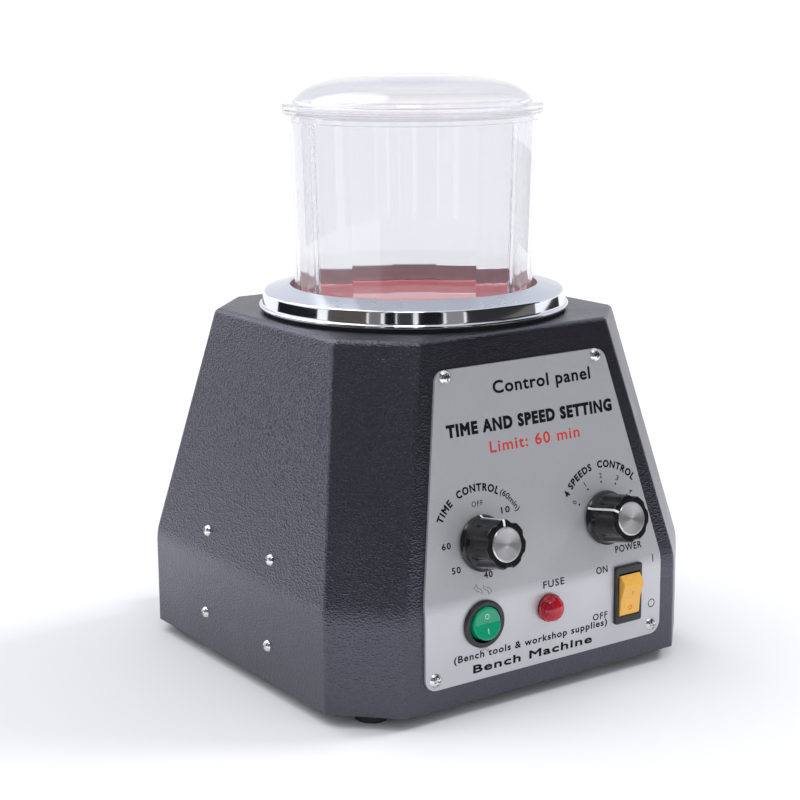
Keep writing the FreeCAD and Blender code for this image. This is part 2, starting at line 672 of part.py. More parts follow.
def sector_profile(radius, half_angle, crown, floor):
    """Rocker outline in local Y and Z about its pivot: round ends and a shallow V face."""
    edge = math.radians(half_angle)
    skirt = math.radians(63.0)
    at = lambda turn: Vector(0, radius * math.sin(turn), radius * math.cos(turn))
    mirror = lambda p: Vector(0, -p.y, p.z)
    outer, mid, low = at(edge), at((edge + skirt) / 2), at(skirt)
    bottom = Vector(0, 2.6, -floor)
    top = Vector(0, 0, crown)
    edges = [
        Part.LineSegment(top, outer).toShape(),
        Part.Arc(outer, mid, low).toShape(),
        Part.LineSegment(low, bottom).toShape(),
        Part.LineSegment(bottom, mirror(bottom)).toShape(),
        Part.LineSegment(mirror(bottom), mirror(low)).toShape(),
        Part.Arc(mirror(low), mirror(mid), mirror(outer)).toShape(),
        Part.LineSegment(mirror(outer), top).toShape(),
    ]
    return Part.Face(Part.Wire(edges))


def pivot_pin(radius, half_length):
    return Part.makeCylinder(radius, 2 * half_length, Vector(-half_length, 0, 0), X)


def build_power_switch():
    wide = POWER_HALF_WIDTH
    rocker = sector_profile(POWER_ARC, POWER_HALF_EDGE, 9.2, 2.4).extrude(X * (2 * wide))
    rocker = moved(rocker, -X * wide)
    rocker = fillet_edges(rocker, 0.5, lambda e: abs(e.BoundBox.XLength) < 0.01
                          and e.BoundBox.ZMin > 5.0)
    rocker = rocker.fuse(pivot_pin(1.3, wide + 0.9))
    lift = Z * POWER_PIVOT
    rocker = moved(turned(rocker, POWER_TILT, X), lift)
    bezel = fillet_edges(block(-8.2, 8.2, -14.2, 14.2, 0, BEZEL_T), 1.2, upright)
    bezel = fillet_edges(bezel, 0.6, lambda e: e.BoundBox.ZMin > BEZEL_T - 0.01)
    barrel = block(-7.5, 7.5, -13.4, 13.4, -20.0, 0)
    well = Part.makeCylinder(POWER_ARC + 0.4, 2 * wide + 0.8, Vector(-wide - 0.4, 0, 0), X)
    well = moved(well, lift).common(block(-10, 10, -12.7, 12.7, POWER_PIVOT - 3.2, 10))
    body = bezel.fuse(barrel).cut(well).cut(moved(pivot_pin(1.34, wide + 1.2), lift))
    tags = [block(-0.4, 0.4, y - 2.4, y + 2.4, -27, -20) for y in (-8, 0, 8)]
    nodes["power_switch_body"] = on_panel(body, POWER_UV)
    nodes["power_rocker"] = on_panel(rocker, POWER_UV)
    return block(-7.5, 7.5, -13.4, 13.4, -30, 20), [on_panel(tag, POWER_UV) for tag in tags]


def build_direction_switch():
    radius = DIRECTION_RADIUS
    edge_height = 4.6
    disc = cylinder(radius, -1.6, edge_height + 1)
    notch = prism([Vector(-20, -20, edge_height + 0.4), Vector(-20, 0, edge_height - 0.7),
                   Vector(-20, 20, edge_height + 0.4), Vector(-20, 20, 20),
                   Vector(-20, -20, 20)], X * 40)
    rocker = disc.cut(notch)
    rocker = rocker.fuse(pivot_pin(1.0, radius + 1.6))
    lift = Z * DIRECTION_PIVOT
    rocker = moved(turned(rocker, -DIRECTION_TILT, X), lift)
    bezel = cylinder(11.0, 0, BEZEL_T)
    bezel = fillet_edges(bezel, 0.7, lambda e: e.BoundBox.ZMin > BEZEL_T - 0.01)
    body = bezel.fuse(cylinder(9.9, -20.0, 0)).cut(cylinder(8.7, -6.0, 10))
    body = body.cut(moved(pivot_pin(1.04, radius + 1.9), lift))
    tags = [block(x - 2.4, x + 2.4, -0.4, 0.4, -27, -20) for x in (-6, 0, 6)]
    nodes["direction_switch_body"] = on_panel(body, DIRECTION_UV)
    nodes["direction_rocker"] = on_panel(rocker, DIRECTION_UV)
    return cylinder(9.9, -30, 20), [on_panel(tag, DIRECTION_UV) for tag in tags]


def build_fuse():
    back = -PANEL_T - WALL
    body = cylinder(6.3, 0, 0.6).fuse(cylinder(5.8, -36.0, 0))
    body = body.cut(cylinder(4.9, -8.0, 5)).cut(cylinder(2.65, -34.0, -7.0))
    nut = hexagon(13.0, back - 3.5, back).cut(cylinder(5.8, -40, 5))
    lens = spin([(0, -6.5), (4.82, -6.5), (4.82, 0.9), (6.6, 0.9), (6.6, 2.0), (6.1, 2.5),
                 (5.7, 4.6), (4.6, 6.1), (2.6, 7.0), (0, 7.3)])
    glass = cylinder(2.35, -29.5, -12.0)
    ends = [cylinder(2.6, -12.0, -8.2), cylinder(2.6, -33.3, -29.5)]
    nodes["fuse_holder_body"] = on_panel(body, FUSE_UV)
    nodes["fuse_cap"] = on_panel(lens, FUSE_UV)
    nodes["glass_fuse"] = group(on_panel(piece, FUSE_UV) for piece in [glass] + ends)
    return cylinder(5.8, -20, 20), on_panel(nut, FUSE_UV)


def build_panel():
    screw = domed_screw(3.2, 1.9, 1.5, 8.0)
    screws = [on_panel(screw, uv) for uv in PANEL_SCREW_UV]
    build_rotary("timer", TIMER_UV, timer_case(), 0.0)
    build_rotary("speed", SPEED_UV, speed_switch_case(), 60.0)
    bushing_hole = cylinder(BUSHING_RADIUS, -20, 20)
    bushing_nut = hexagon(12.0, 0, 2.0).cut(bushing_hole)
    power_hole, power_tags = build_power_switch()
    direction_hole, direction_tags = build_direction_switch()
    fuse_hole, fuse_nut = build_fuse()
    holes = [on_panel(bushing_hole, TIMER_UV), on_panel(bushing_hole, SPEED_UV),
             on_panel(power_hole, POWER_UV), on_panel(direction_hole, DIRECTION_UV),
             on_panel(fuse_hole, FUSE_UV)]
    nodes["switch_terminals"] = group(power_tags + direction_tags)
    nodes["panel_nuts"] = group([on_panel(bushing_nut, TIMER_UV),
                                 on_panel(bushing_nut, SPEED_UV), fuse_nut])
    nodes["control_panel"] = cut_all(panel_sheet(), holes + screws)
    nodes["panel_screws"] = group(screws)
    nodes["housing_shell"] = cut_all(nodes["housing_shell"], holes + screws)


# ---- transformer on its bracket, and the control board

def board_corners():
    return [(x, y) for x in (45.0, 85.0) for y in (-26.0, 34.0)]


def build_transformer():
    outer = folded_outline(WALL, 14.0, 78.0)
    inner = folded_outline(WALL + 1.5, 13.0, 79.0)
    bracket = outer.cut(inner).common(block(-200, 0, -33, 33, 0, 100))
    screw = domed_screw(2.8, 1.9, 1.5, 8.5)
    nut = hexagon(5.5, -WALL - 1.5 - 2.4, -WALL - 1.5)
    screws, nuts = [], []
    for u in (-SIDE_SCREW_U, SIDE_SCREW_U):
        for v in SIDE_SCREW_V:
            placed = on_face(screw, u, v, 0.0, -1)
            screws.append(placed)
            nuts.append(on_face(nut, u, v, 0.0, -1).cut(placed))
    wall_x = -BASE_HALF + WALL + 1.5
    shelf_end = wall_x + 44.0
    shelf = block(wall_x, shelf_end, -24, 24, 14.0, 15.5)
    bracket = fuse_all([bracket, shelf])
    core = block(wall_x + 5, shelf_end - 3, -22, 22, 15.5, 51.5)
    window = block(wall_x + 11, shelf_end - 9, -30, 30, 21.5, 45.5)
    limb = block(wall_x + 20, shelf_end - 18, -22, 22, 15.5, 51.5)
    core = core.cut(window).fuse(limb).removeSplitter()
    coil = block(wall_x + 11.4, shelf_end - 9.4, -28, 28, 21.9, 45.1)
    coil = fillet_edges(coil, 3.0, lambda e: e.BoundBox.XLength < 0.01
                        and e.BoundBox.YLength < 0.01).cut(core)
    nodes["transformer_bracket"] = cut_all(bracket, screws)
    nodes["transformer_core"] = core
    nodes["transformer_coil"] = group([coil])
    nodes["side_screws"] = group(screws)
    hex_nuts.extend(nuts)
    nodes["housing_shell"] = cut_all(nodes["housing_shell"], screws)


def build_board():
    low = PLATE_Z + PLATE_T + 8.0
    high = low + 1.6
    board = block(40.0, 90.0, -31.0, 39.0, low, high)
    holes = [cylinder(1.5, low - 1, high + 1, x, y) for x, y in board_corners()]
    rectifier = block(52, 67, -18, -3, high, high + 6)
    capacitors = [fillet_edges(cylinder(r, high, high + h, x, y), 1.0,
                               lambda e: e.BoundBox.ZMin > high + h - 0.1)
                  for r, h, x, y in ((8.0, 30.0, 76.0, -10.0), (5.0, 16.0, 82.0, 10.0))]
    relay = block(52, 71, 4, 19, high, high + 15)
    blocks = block(54, 84, 23, 33, high, high + 11)
    wells = [cylinder(1.8, high + 6, high + 20, x, 28.0) for x in range(58, 82, 5)]
    parts = [rectifier, relay, cut_all(blocks, wells)] + capacitors
    nodes["control_board"] = group([cut_all(board, holes)] + parts)


# ---- cable gland

def along_y(shape):
    """Turn a shape built on Z so that its axis points along +Y at the gland."""
    copy = turned(shape, -90, X)
    return moved(copy, Vector(GLAND_X, 0, GLAND_Z))


def build_gland():
    hole = cylinder(CABLE_HOLE, 50, 150)
    wall = BASE_HALF
    body = hexagon(18.0, wall, wall + 3.2).fuse(cylinder(6.2, wall - 11, wall))
    body = body.fuse(cylinder(6.6, wall + 3.2, wall + 6.0)).cut(hole).removeSplitter()
    seal = cylinder(5.6, wall + 6.0, GLAND_END - 1.6).cut(hole)
    cap = cylinder(8.4, wall + 3.4, GLAND_END)
    cap = fillet_edges(cap, 2.2, lambda e: e.BoundBox.ZMin > GLAND_END - 0.1)
    cap = cap.cut(cylinder(6.6, 50, wall + 6.0)).cut(seal).cut(hole)
    groove = cylinder(1.0, 50, 150, 9.0)
    cap = cut_all(cap, around(groove, 12))
    nut = hexagon(18.0, wall - WALL - 3.5, wall - WALL).cut(cylinder(6.2, 50, 150))
    nodes["gland_body"] = along_y(group([body, nut]))
    nodes["gland_seal"] = along_y(seal)
    nodes["gland_cap"] = along_y(cap)


def main():
    build_housing()
    build_base()
    build_ring()
    build_bowl()
    build_lid()
    build_rotor()
    build_hangers(build_motor())
    build_panel()
    build_transformer()
    build_board()
    build_gland()
    nodes["hex_nuts"] = group(hex_nuts)
    os.makedirs("parts", exist_ok=True)
    for name, shape in nodes.items():
        print(name, len(shape.Solids), round(shape.Volume, 1), shape.isValid())
        shape.exportStep("parts/" + name + ".step")
    print(len(nodes), "nodes")


main()
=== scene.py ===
import math

import bmesh
import bpy
from mathutils import Matrix, Vector


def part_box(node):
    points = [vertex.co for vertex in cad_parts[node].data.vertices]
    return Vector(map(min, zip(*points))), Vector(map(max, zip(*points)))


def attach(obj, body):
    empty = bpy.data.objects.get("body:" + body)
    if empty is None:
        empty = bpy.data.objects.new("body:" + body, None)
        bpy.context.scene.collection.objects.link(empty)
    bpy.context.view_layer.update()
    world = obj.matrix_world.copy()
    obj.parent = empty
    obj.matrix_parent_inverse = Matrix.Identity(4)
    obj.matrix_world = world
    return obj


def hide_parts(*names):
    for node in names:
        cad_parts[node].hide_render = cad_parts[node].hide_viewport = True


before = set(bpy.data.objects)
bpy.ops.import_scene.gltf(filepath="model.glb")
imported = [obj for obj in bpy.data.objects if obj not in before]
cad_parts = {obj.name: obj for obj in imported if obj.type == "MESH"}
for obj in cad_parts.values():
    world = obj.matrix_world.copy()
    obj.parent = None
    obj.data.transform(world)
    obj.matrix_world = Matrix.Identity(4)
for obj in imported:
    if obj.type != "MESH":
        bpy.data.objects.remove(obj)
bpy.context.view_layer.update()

# Bench magnetic tumbler. Metres, +Z up, panel towards -Y. Pieces made here stand where the CAD
# nodes stand, so the driving sizes below follow the CAD's.
MM = 0.001
TAU = 2 * math.pi

BASE_HALF = 105.0 * MM       # housing, half width across the vertical skirt
FOLD_Z = 52.5 * MM           # where the skirt turns into the sloping sides
FOLD_RADIUS = 35.0 * MM
SLOPE = math.atan2(23.6, 116.0)
PANEL_T = 1.2 * MM
BEND = FOLD_RADIUS * math.tan(SLOPE / 2)   # half length of the bend, along the sheet
BEND_CUTS = [BEND * (2 * i / 12 - 1) for i in range(13)]

TIMER_UV = (-34.7 * MM, 25.7 * MM)
SPEED_UV = (38.2 * MM, 25.2 * MM)
DIRECTION_UV = (-37.6 * MM, -10.3 * MM)
FUSE_UV = (0.0, -10.1 * MM)
POWER_UV = (48.1 * MM, -12.7 * MM)
SPEED_REST = 60.0                          # degrees, the speed pointer's rest left of up

BOWL_FACETS = 18
HALF_FACET = math.pi / BOWL_FACETS
FACET_PHASE = math.radians(5.3)            # from +X to the first corner between two facets
FACET_TOP = 259.6 * MM
BOWL_T = 3.0 * MM                          # thickness of the bowl's floor
BOWL_FOOT = 57.1 * MM                      # outer radius at the foot, without its rounded edge
BOWL_MOUTH = 58.6 * MM                     # inner radius above the facets
COLLAR_RADIUS = 61.1 * MM
RIM_RADIUS = 62.4 * MM                     # rim and lid flange, without their rounded edges
EDGE = 0.5 * MM                            # rounding of thin edges in clear plastic
SPIGOT_RADIUS = 57.9 * MM
FLANGE_T = 2.2 * MM                        # thickness of the bowl's rim and of the lid's flange
THUMB_RADIUS = 22.5 * MM                   # shallow circle in the crown of the lid
DOME_BASE = 265.2 * MM
DOME_HEIGHT = 15.9 * MM
DOME_RADIUS = 59.2 * MM
RING_INNER = 60.4 * MM
RING_OUTER = 73.7 * MM
RING_SHOULDER = 178.3 * MM

KNOB_LIFT = 0.6 * MM                       # gap between the knob and the panel
KNOB_FLANGE = 12.8 * MM
KNOB_UNDER = 12.2 * MM                     # outer radius of the flange's underside
KNOB_SKIRT = KNOB_LIFT + 3.2 * MM          # where the skirt ends and the grip begins
SKIRT_RADIUS = 11.55 * MM
KNOB_GRIP = 11.2 * MM
KNOB_FACE = 18.38 * MM
KNOB_LOBES = 7
FLUTE_RADIUS = 3.8 * MM
FLUTE_DEPTH = 1.3 * MM
CAP_RADIUS = 7.8 * MM
CAP_PROUD = 0.42 * MM                      # height of the cap's face over the knob's
POWER_PIVOT = -5.9 * MM
POWER_TILT = 12.0
POWER_HALF_EDGE = 37.6                     # degrees from the pivot's normal to each outer edge
POWER_ARC = 12.7 * MM
POWER_CROWN = 9.2 * MM                     # from the pivot to the fold across the face
DIRECTION_PIVOT = -2.0 * MM
DIRECTION_TILT = -9.0
PADDLE_FACE = 5.2 * MM                     # from the direction switch's pivot to its face
PADDLE_FOLD = 0.07                         # rise of the face for each unit away from its fold
FOLD_CUT = [0.0]
LENS_STEPS = 12
INK_T = 0.05 * MM

CURTAIN_REACH = 1.3                        # metres from the object's axis to the studio's sheets
FLOOR_SHEET_Z = 0.0015
SHEET_TURN = 8                             # degrees that one flat strip of a sheet spans
SOFTBOX_REACH = 1.6
CLEAR_BOUNCES = 128


# ---- places on the folded panel

def panel_point(u, v, lift=0.0):
    """Point above the panel's face: u to the right, v up the sheet from the fold."""
    if v <= -BEND:
        return Vector((u, -(BASE_HALF + PANEL_T + lift), FOLD_Z + v))
    if v >= BEND:
        up = Vector((0, math.sin(SLOPE), math.cos(SLOPE)))
        normal = Vector((0, -math.cos(SLOPE), math.sin(SLOPE)))
        return Vector((u, -BASE_HALF, FOLD_Z)) + up * v + normal * (PANEL_T + lift)
    turn = SLOPE * (v + BEND) / (2 * BEND)
    radius = FOLD_RADIUS + PANEL_T + lift
    y = -(BASE_HALF - FOLD_RADIUS) - radius * math.cos(turn)
    return Vector((u, y, FOLD_Z - BEND + radius * math.sin(turn)))


def panel_frame(uv, lift=0.0, tilt=0.0, spin=0.0):
    """Axes of a control on the panel: Z outwards and Y up the sheet. Angles in degrees."""
    slope = math.degrees(SLOPE) if uv[1] > 0 else 0.0
    place = Matrix.Translation(panel_point(*uv)) @ turn_about("X", 90 - slope)
    return place @ Matrix.Translation((0, 0, lift)) @ turn_about("X", tilt) @ turn_about("Z", spin)


def turn_about(axis, degrees):
    return Matrix.Rotation(math.radians(degrees), 4, axis)


# ---- mesh building

def polar(radius, angle, z):
    return Vector((radius * math.cos(angle), radius * math.sin(angle), z))


def arc(centre_r, centre_z, radius, start, end, steps=6):
    """Profile points (r, z) round a circle, with angles in degrees from the outward direction."""
    points = []
    for i in range(steps + 1):
        turn = math.radians(start + (end - start) * i / steps)
        points.append((centre_r + radius * math.cos(turn), centre_z + radius * math.sin(turn)))
    return points


def lathe(profile, angles, shape=None):
    """Closed surface of revolution from a profile of (r, z), run round with the solid on its left.

    shape(r, z, angle) gives the radius where it isn't the same all round.
    """
    bm = bmesh.new()
    rings = []
    for r, z in profile:
        if r < 1e-7:
            rings.append([bm.verts.new((0, 0, z))])
            continue
        radii = [shape(r, z, a) if shape else r for a in angles]
        rings.append([bm.verts.new(polar(q, a, z)) for q, a in zip(radii, angles)])
    count = len(angles)
    closed = len(rings[0]) > 1 and len(rings[-1]) > 1
    pairs = list(zip(rings, rings[1:])) + ([(rings[-1], rings[0])] if closed else [])
    for low, high in pairs:
        for i in range(count):
            j = (i + 1) % count
            if len(low) == 1 and len(high) == 1:
                continue
            if len(low) == 1:
                bm.faces.new((low[0], high[j], high[i]))
            elif len(high) == 1:
                bm.faces.new((low[i], low[j], high[0]))
            else:
                bm.faces.new((low[i], low[j], high[j], high[i]))
    return bm


def even_angles(count):
    return [TAU * i / count for i in range(count)]


def show(name, data):
    """New object in the scene."""
    made = bpy.data.objects.new(name, data)
    bpy.context.scene.collection.objects.link(made)
    return made


def piece(name, bm, material, body, replaced=(), place=None, crease=30.0):
    """Make a bmesh a piece of the object, smooth except at edges sharper than crease degrees."""
    bmesh.ops.remove_doubles(bm, verts=bm.verts, dist=1e-7)
    bmesh.ops.recalc_face_normals(bm, faces=bm.faces)
    limit = math.radians(crease)
    for face in bm.faces:
        face.smooth = True
    for edge in bm.edges:
        edge.smooth = len(edge.link_faces) == 2 and edge.calc_face_angle(0.0) < limit
    mesh = bpy.data.meshes.new(name)
    bm.to_mesh(mesh)
    bm.free()
    made = show(name, mesh)
    mesh.materials.append(material)
    if place is not None:
        made.matrix_world = place
    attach(made, body)
    if replaced:
        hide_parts(*replaced)
    return made


# ---- material building

def set_stops(ramp, stops):
    """Give a colour ramp node its stops, each (position, colour)."""
    elements = ramp.color_ramp.elements
    while len(elements) < len(stops):
        elements.new(0.5)
    for element, (position, colour) in zip(elements, stops):
        element.position = position
        element.color = colour + (1.0,)


class Finish:
    """A Principled material, with short ways to add procedural detail to it."""

    def __init__(self, name, colour, **values):
        self.material = bpy.data.materials.new(name)
        self.material.use_nodes = True
        self.tree = self.material.node_tree
        self.shader = self.tree.nodes["Principled BSDF"]
        self.set("Base Color", colour)
        for key, value in values.items():
            self.set(key.replace("_", " "), value)
        self.place = self.node("ShaderNodeTexCoord").outputs["Object"]
        self.bumps = None

    def set(self, socket, value):
        if isinstance(value, tuple) and len(value) == 3:
            value = value + (1.0,)
        self.shader.inputs[socket].default_value = value

    def node(self, kind, **values):
        node = self.tree.nodes.new(kind)
        for key, value in values.items():
            setattr(node, key, value)
        return node

    def link(self, source, socket):
        self.tree.links.new(source, socket)

    def noise(self, scale, detail=2.0, rough=0.5, stretch=None):
        texture = self.node("ShaderNodeTexNoise")
        texture.inputs["Scale"].default_value = scale
        texture.inputs["Detail"].default_value = detail
        texture.inputs["Roughness"].default_value = rough
        self.link(self.stretched(stretch), texture.inputs["Vector"])
        return texture.outputs["Fac"]

    def cells(self, scale, feature="F1", smooth=None, stretch=None):
        texture = self.node("ShaderNodeTexVoronoi", feature=feature)
        texture.inputs["Scale"].default_value = scale
        if smooth is not None:
            texture.inputs["Smoothness"].default_value = smooth
        self.link(self.stretched(stretch), texture.inputs["Vector"])
        return texture.outputs["Distance"]

    def wave(self, scale, distortion, kind="BANDS"):
        """Bands stacked along Z, or rings about it."""
        texture = self.node("ShaderNodeTexWave", wave_type=kind)
        texture.bands_direction = "Z"
        texture.rings_direction = "Z"
        texture.inputs["Scale"].default_value = scale
        texture.inputs["Distortion"].default_value = distortion
        self.link(self.place, texture.inputs["Vector"])
        return texture.outputs["Fac"]

    def stretched(self, stretch):
        if stretch is None:
            return self.place
        mapping = self.node("ShaderNodeMapping")
        mapping.inputs["Scale"].default_value = stretch
        self.link(self.place, mapping.inputs["Vector"])
        return mapping.outputs["Vector"]

    def spread(self, source, low, high, to_low, to_high):
        """Source between low and high, mapped to to_low and to_high."""
        node = self.node("ShaderNodeMapRange")
        ends = {"From Min": low, "From Max": high, "To Min": to_low, "To Max": to_high}
        for key, value in ends.items():
            node.inputs[key].default_value = value
        self.link(source, node.inputs["Value"])
        return node.outputs["Result"]

    def colours(self, source, *stops):
        """Colour the surface by a 0 to 1 source; each stop is (position, colour)."""
        ramp = self.node("ShaderNodeValToRGB")
        set_stops(ramp, stops)
        self.link(source, ramp.inputs["Fac"])
        self.link(ramp.outputs["Color"], self.shader.inputs["Base Color"])
        return self

    def rough(self, source, low, high, start=0.3, end=0.7):
        """Roughness from low to high as the source goes from start to end."""
        self.link(self.spread(source, start, end, low, high), self.shader.inputs["Roughness"])
        return self

    def bump(self, source, depth, strength=1.0):
        """Raise the surface by up to depth metres where the source is 1."""
        node = self.node("ShaderNodeBump")
        node.inputs["Strength"].default_value = strength
        node.inputs["Distance"].default_value = depth
        self.link(source, node.inputs["Height"])
        if self.bumps is not None:
            self.link(self.bumps, node.inputs["Normal"])
        self.bumps = node.outputs["Normal"]
        self.link(self.bumps, self.shader.inputs["Normal"])
        return self


def housing_paint():
    """Charcoal textured powder coat: a pebbled leather skin that glints on its ridges."""
    finish = Finish("housing_paint", (0.01, 0.01, 0.012), Roughness=0.4,
                    IOR=1.6, Specular_IOR_Level=0.95, Specular_Tint=(0.81, 0.81, 1.0))
    lying = (0.8, 0.62, 1.1)
    pebbles = finish.cells(1150.0, "SMOOTH_F1", 0.3, lying)
    grain = finish.noise(1900.0, 2.0, 0.6, lying)
    finish.colours(finish.noise(1100.0), (0.35, (0.006, 0.006, 0.008)),
                   (0.7, (0.015, 0.015, 0.019)))
    finish.rough(finish.noise(45.0), 0.29, 0.34)
    return finish.bump(pebbles, 0.0002).bump(grain, 0.00005).material


def moulded(name, colour, rough, grain=0.00002, cloud=0.82, **values):
    """Moulded plastic: faint cloudiness and a fine skin."""
    finish = Finish(name, colour, Roughness=rough, **values)
    darker = tuple(cloud * c for c in colour)
    finish.colours(finish.noise(220.0, 3.0), (0.3, darker), (0.7, colour))
    finish.rough(finish.noise(160.0, 3.0), rough * 0.85, min(1.0, rough * 1.25))
    return finish.bump(finish.noise(1800.0), grain).material


def metal(name, colour, rough, stretch=None, scratches=0.00001):
    """Bare metal: brushed along one axis when stretch says so, with small colour changes."""
    finish = Finish(name, colour, Roughness=rough, Metallic=1.0)
    darker = tuple(0.86 * c for c in colour)
    finish.colours(finish.noise(120.0, 3.0), (0.3, darker), (0.7, colour))
    finish.rough(finish.noise(900.0, 3.0, 0.6, stretch), rough * 0.7, min(1.0, rough * 1.4))
    return finish.bump(finish.noise(1400.0, 3.0, 0.6, stretch), scratches).material


def zinc_steel():
    """Zinc plated sheet with its spangle."""
    finish = Finish("zinc_steel", (0.6, 0.61, 0.62), Roughness=0.32, Metallic=1.0)
    spangle = finish.cells(160.0)
    finish.colours(spangle, (0.1, (0.66, 0.67, 0.69)), (0.8, (0.5, 0.51, 0.53)))
    finish.rough(spangle, 0.24, 0.44, 0.1, 0.8)
    return finish.bump(finish.noise(600.0), 0.00001).material


def polished_chrome():
    """Chrome plating over turned metal: bright, with a very faint haze of hairlines."""
    finish = Finish("polished_chrome", (0.80, 0.82, 0.86), Roughness=0.07, Metallic=1.0)
    finish.rough(finish.noise(500.0, 3.0, 0.6, (1.0, 1.0, 12.0)), 0.04, 0.1)
    return finish.bump(finish.noise(700.0), 0.0000004).material


def satin_chrome():
    """The ring's upper face, turned and buffed, so it only half mirrors."""
    finish = Finish("satin_chrome", (0.76, 0.79, 0.85), Roughness=0.3, Metallic=1.0)
    finish.rough(finish.noise(90.0, 3.0), 0.26, 0.34)
    return finish.bump(finish.noise(240.0), 0.000001).material


def spun_aluminium():
    """Cap face turned on a lathe: the light fans out from the middle."""
    finish = Finish("spun_aluminium", (0.92, 0.92, 0.94), Roughness=0.36, Metallic=1.0,
                    Anisotropic=0.9, Anisotropic_Rotation=0.25)
    tangent = finish.node("ShaderNodeTangent", direction_type="RADIAL", axis="Z")
    finish.link(tangent.outputs["Tangent"], finish.shader.inputs["Tangent"])
    finish.rough(finish.wave(900.0, 1.0, "RINGS"), 0.32, 0.4)
    return finish.bump(finish.wave(1100.0, 0.4, "RINGS"), 0.000002).material


def red_pad():
    """Dyed rubber, with a painted glow that stands in for the light the thick plastic over it
    holds back.
    """
    finish = Finish("red_pad", (0.93, 0.14, 0.17), Roughness=0.42, Emission_Strength=0.6)
    finish.set("Emission Color", (1.0, 0.17, 0.21))
    finish.colours(finish.noise(260.0, 3.0), (0.3, (0.88, 0.11, 0.14)), (0.7, (0.96, 0.17, 0.2)))
    return finish.bump(finish.cells(900.0), 0.00008).material


def clear_plastic(name, tint):
    """Moulded clear acrylic, with the slightest ripple and tint."""
    finish = Finish(name, tint, Roughness=0.0, IOR=1.49, Transmission_Weight=1.0)
    finish.rough(finish.noise(35.0), 0.0, 0.03)
    return finish.bump(finish.noise(22.0, 1.0), 0.00005, 0.35).material


def windings():
    """Enamelled wire laid in rows."""
    finish = Finish("copper", (0.75, 0.3, 0.12), Roughness=0.3, Metallic=1.0, Coat_Weight=0.4)
    wires = finish.wave(380.0, 0.6)
    finish.colours(wires, (0.2, (0.42, 0.14, 0.05)), (0.8, (0.82, 0.36, 0.15)))
    return finish.bump(wires, 0.00022).material


def laminations(name):
    """Stacked steel sheets, seen edge on."""
    finish = Finish(name, (0.4, 0.4, 0.42), Roughness=0.4, Metallic=1.0)
    sheets = finish.wave(520.0, 0.2)
    finish.colours(sheets, (0.25, (0.2, 0.2, 0.22)), (0.75, (0.5, 0.5, 0.52)))
    return finish.bump(sheets, 0.00012).material


def coil_tape():
    """Varnished yellow tape wound round the transformer's coil."""
    finish = Finish("coil_tape", (0.8, 0.6, 0.12), Roughness=0.35, Coat_Weight=0.3)
    turns = finish.wave(52.0, 1.2)
    finish.colours(turns, (0.1, (0.55, 0.38, 0.06)), (0.5, (0.8, 0.6, 0.12)))
    return finish.bump(turns, 0.00008).material


def board_green():
    """Circuit board: solder mask over tracks."""
    finish = Finish("board_green", (0.02, 0.2, 0.08), Roughness=0.3, Coat_Weight=0.5)
    tracks = finish.cells(260.0, "DISTANCE_TO_EDGE", stretch=(1.0, 0.35, 1.0))
    finish.colours(tracks, (0.05, (0.05, 0.34, 0.13)), (0.12, (0.012, 0.13, 0.05)))
    return finish.bump(finish.spread(tracks, 0.05, 0.12, 1.0, 0.0), 0.00005).material


def brushed_panel():
    """Satin anodised sheet."""
    finish = Finish("brushed_panel", (0.54, 0.54, 0.56), Roughness=0.36, Metallic=0.45)
    finish.colours(finish.noise(1600.0, 2.0, 0.6), (0.3, (0.52, 0.52, 0.54)),
                   (0.7, (0.56, 0.56, 0.58)))
    finish.rough(finish.noise(500.0, 3.0, 0.6, (0.15, 1.0, 1.0)), 0.36, 0.4)
    return finish.bump(finish.noise(900.0, 3.0, 0.6, (0.12, 1.0, 1.0)), 0.000003).material


def coloured_glass(name, colour, rough, weight):
    """Tinted see-through moulding."""
    finish = Finish(name, colour, Roughness=rough, IOR=1.5, Transmission_Weight=weight)
    finish.colours(finish.noise(300.0), (0.3, tuple(0.9 * c for c in colour)), (0.7, colour))
    return finish.bump(finish.noise(90.0, 1.0), 0.00002, 0.5).material


MATERIALS = {
    "housing_paint": housing_paint(),
    "plate_paint": moulded("plate_paint", (0.03, 0.03, 0.033), 0.5, 0.00006),
    "rubber": moulded("rubber", (0.022, 0.022, 0.023), 0.75, 0.00008),
    "zinc_steel": zinc_steel(),
    "polished_chrome": polished_chrome(),
    "bright_screw": metal("bright_screw", (0.82, 0.82, 0.82), 0.16),
    "stainless": metal("stainless", (0.6, 0.6, 0.61), 0.3, (1.0, 0.1, 1.0)),
    "red_pad": red_pad(),
    "clear_plastic": clear_plastic("clear_plastic", (0.925, 0.928, 0.94)),
    "magnet_nickel": metal("magnet_nickel", (0.72, 0.7, 0.66), 0.18),
    "cast_aluminium": metal("cast_aluminium", (0.64, 0.65, 0.66), 0.45, None, 0.00008),
    "steel": metal("steel", (0.45, 0.45, 0.46), 0.34, (1.0, 1.0, 0.1)),
    "copper": windings(),
    "black_plastic": moulded("black_plastic", (0.02, 0.02, 0.022), 0.4, 0.00003),
    "ferrite": moulded("ferrite", (0.05, 0.05, 0.055), 0.6, 0.0001),
    "carbon": moulded("carbon", (0.03, 0.03, 0.03), 0.55, 0.00006),
    "knob_plastic": moulded("knob_plastic", (0.008, 0.008, 0.009), 0.12, 0.000004),
    "spun_aluminium": spun_aluminium(),
    "yellow_plastic": moulded("yellow_plastic", (0.88, 0.47, 0.08), 0.28, 0.000003, 0.96),
    "green_plastic": coloured_glass("green_plastic", (0.0, 0.42, 0.21), 0.1, 0.3),
    "red_lens": coloured_glass("red_lens", (0.9, 0.03, 0.07), 0.03, 0.72),
    "fuse_glass": coloured_glass("fuse_glass", (0.85, 0.9, 0.9), 0.02, 0.95),
    "brushed_panel": brushed_panel(),
    "coil_tape": coil_tape(),
    "board_green": board_green(),
}
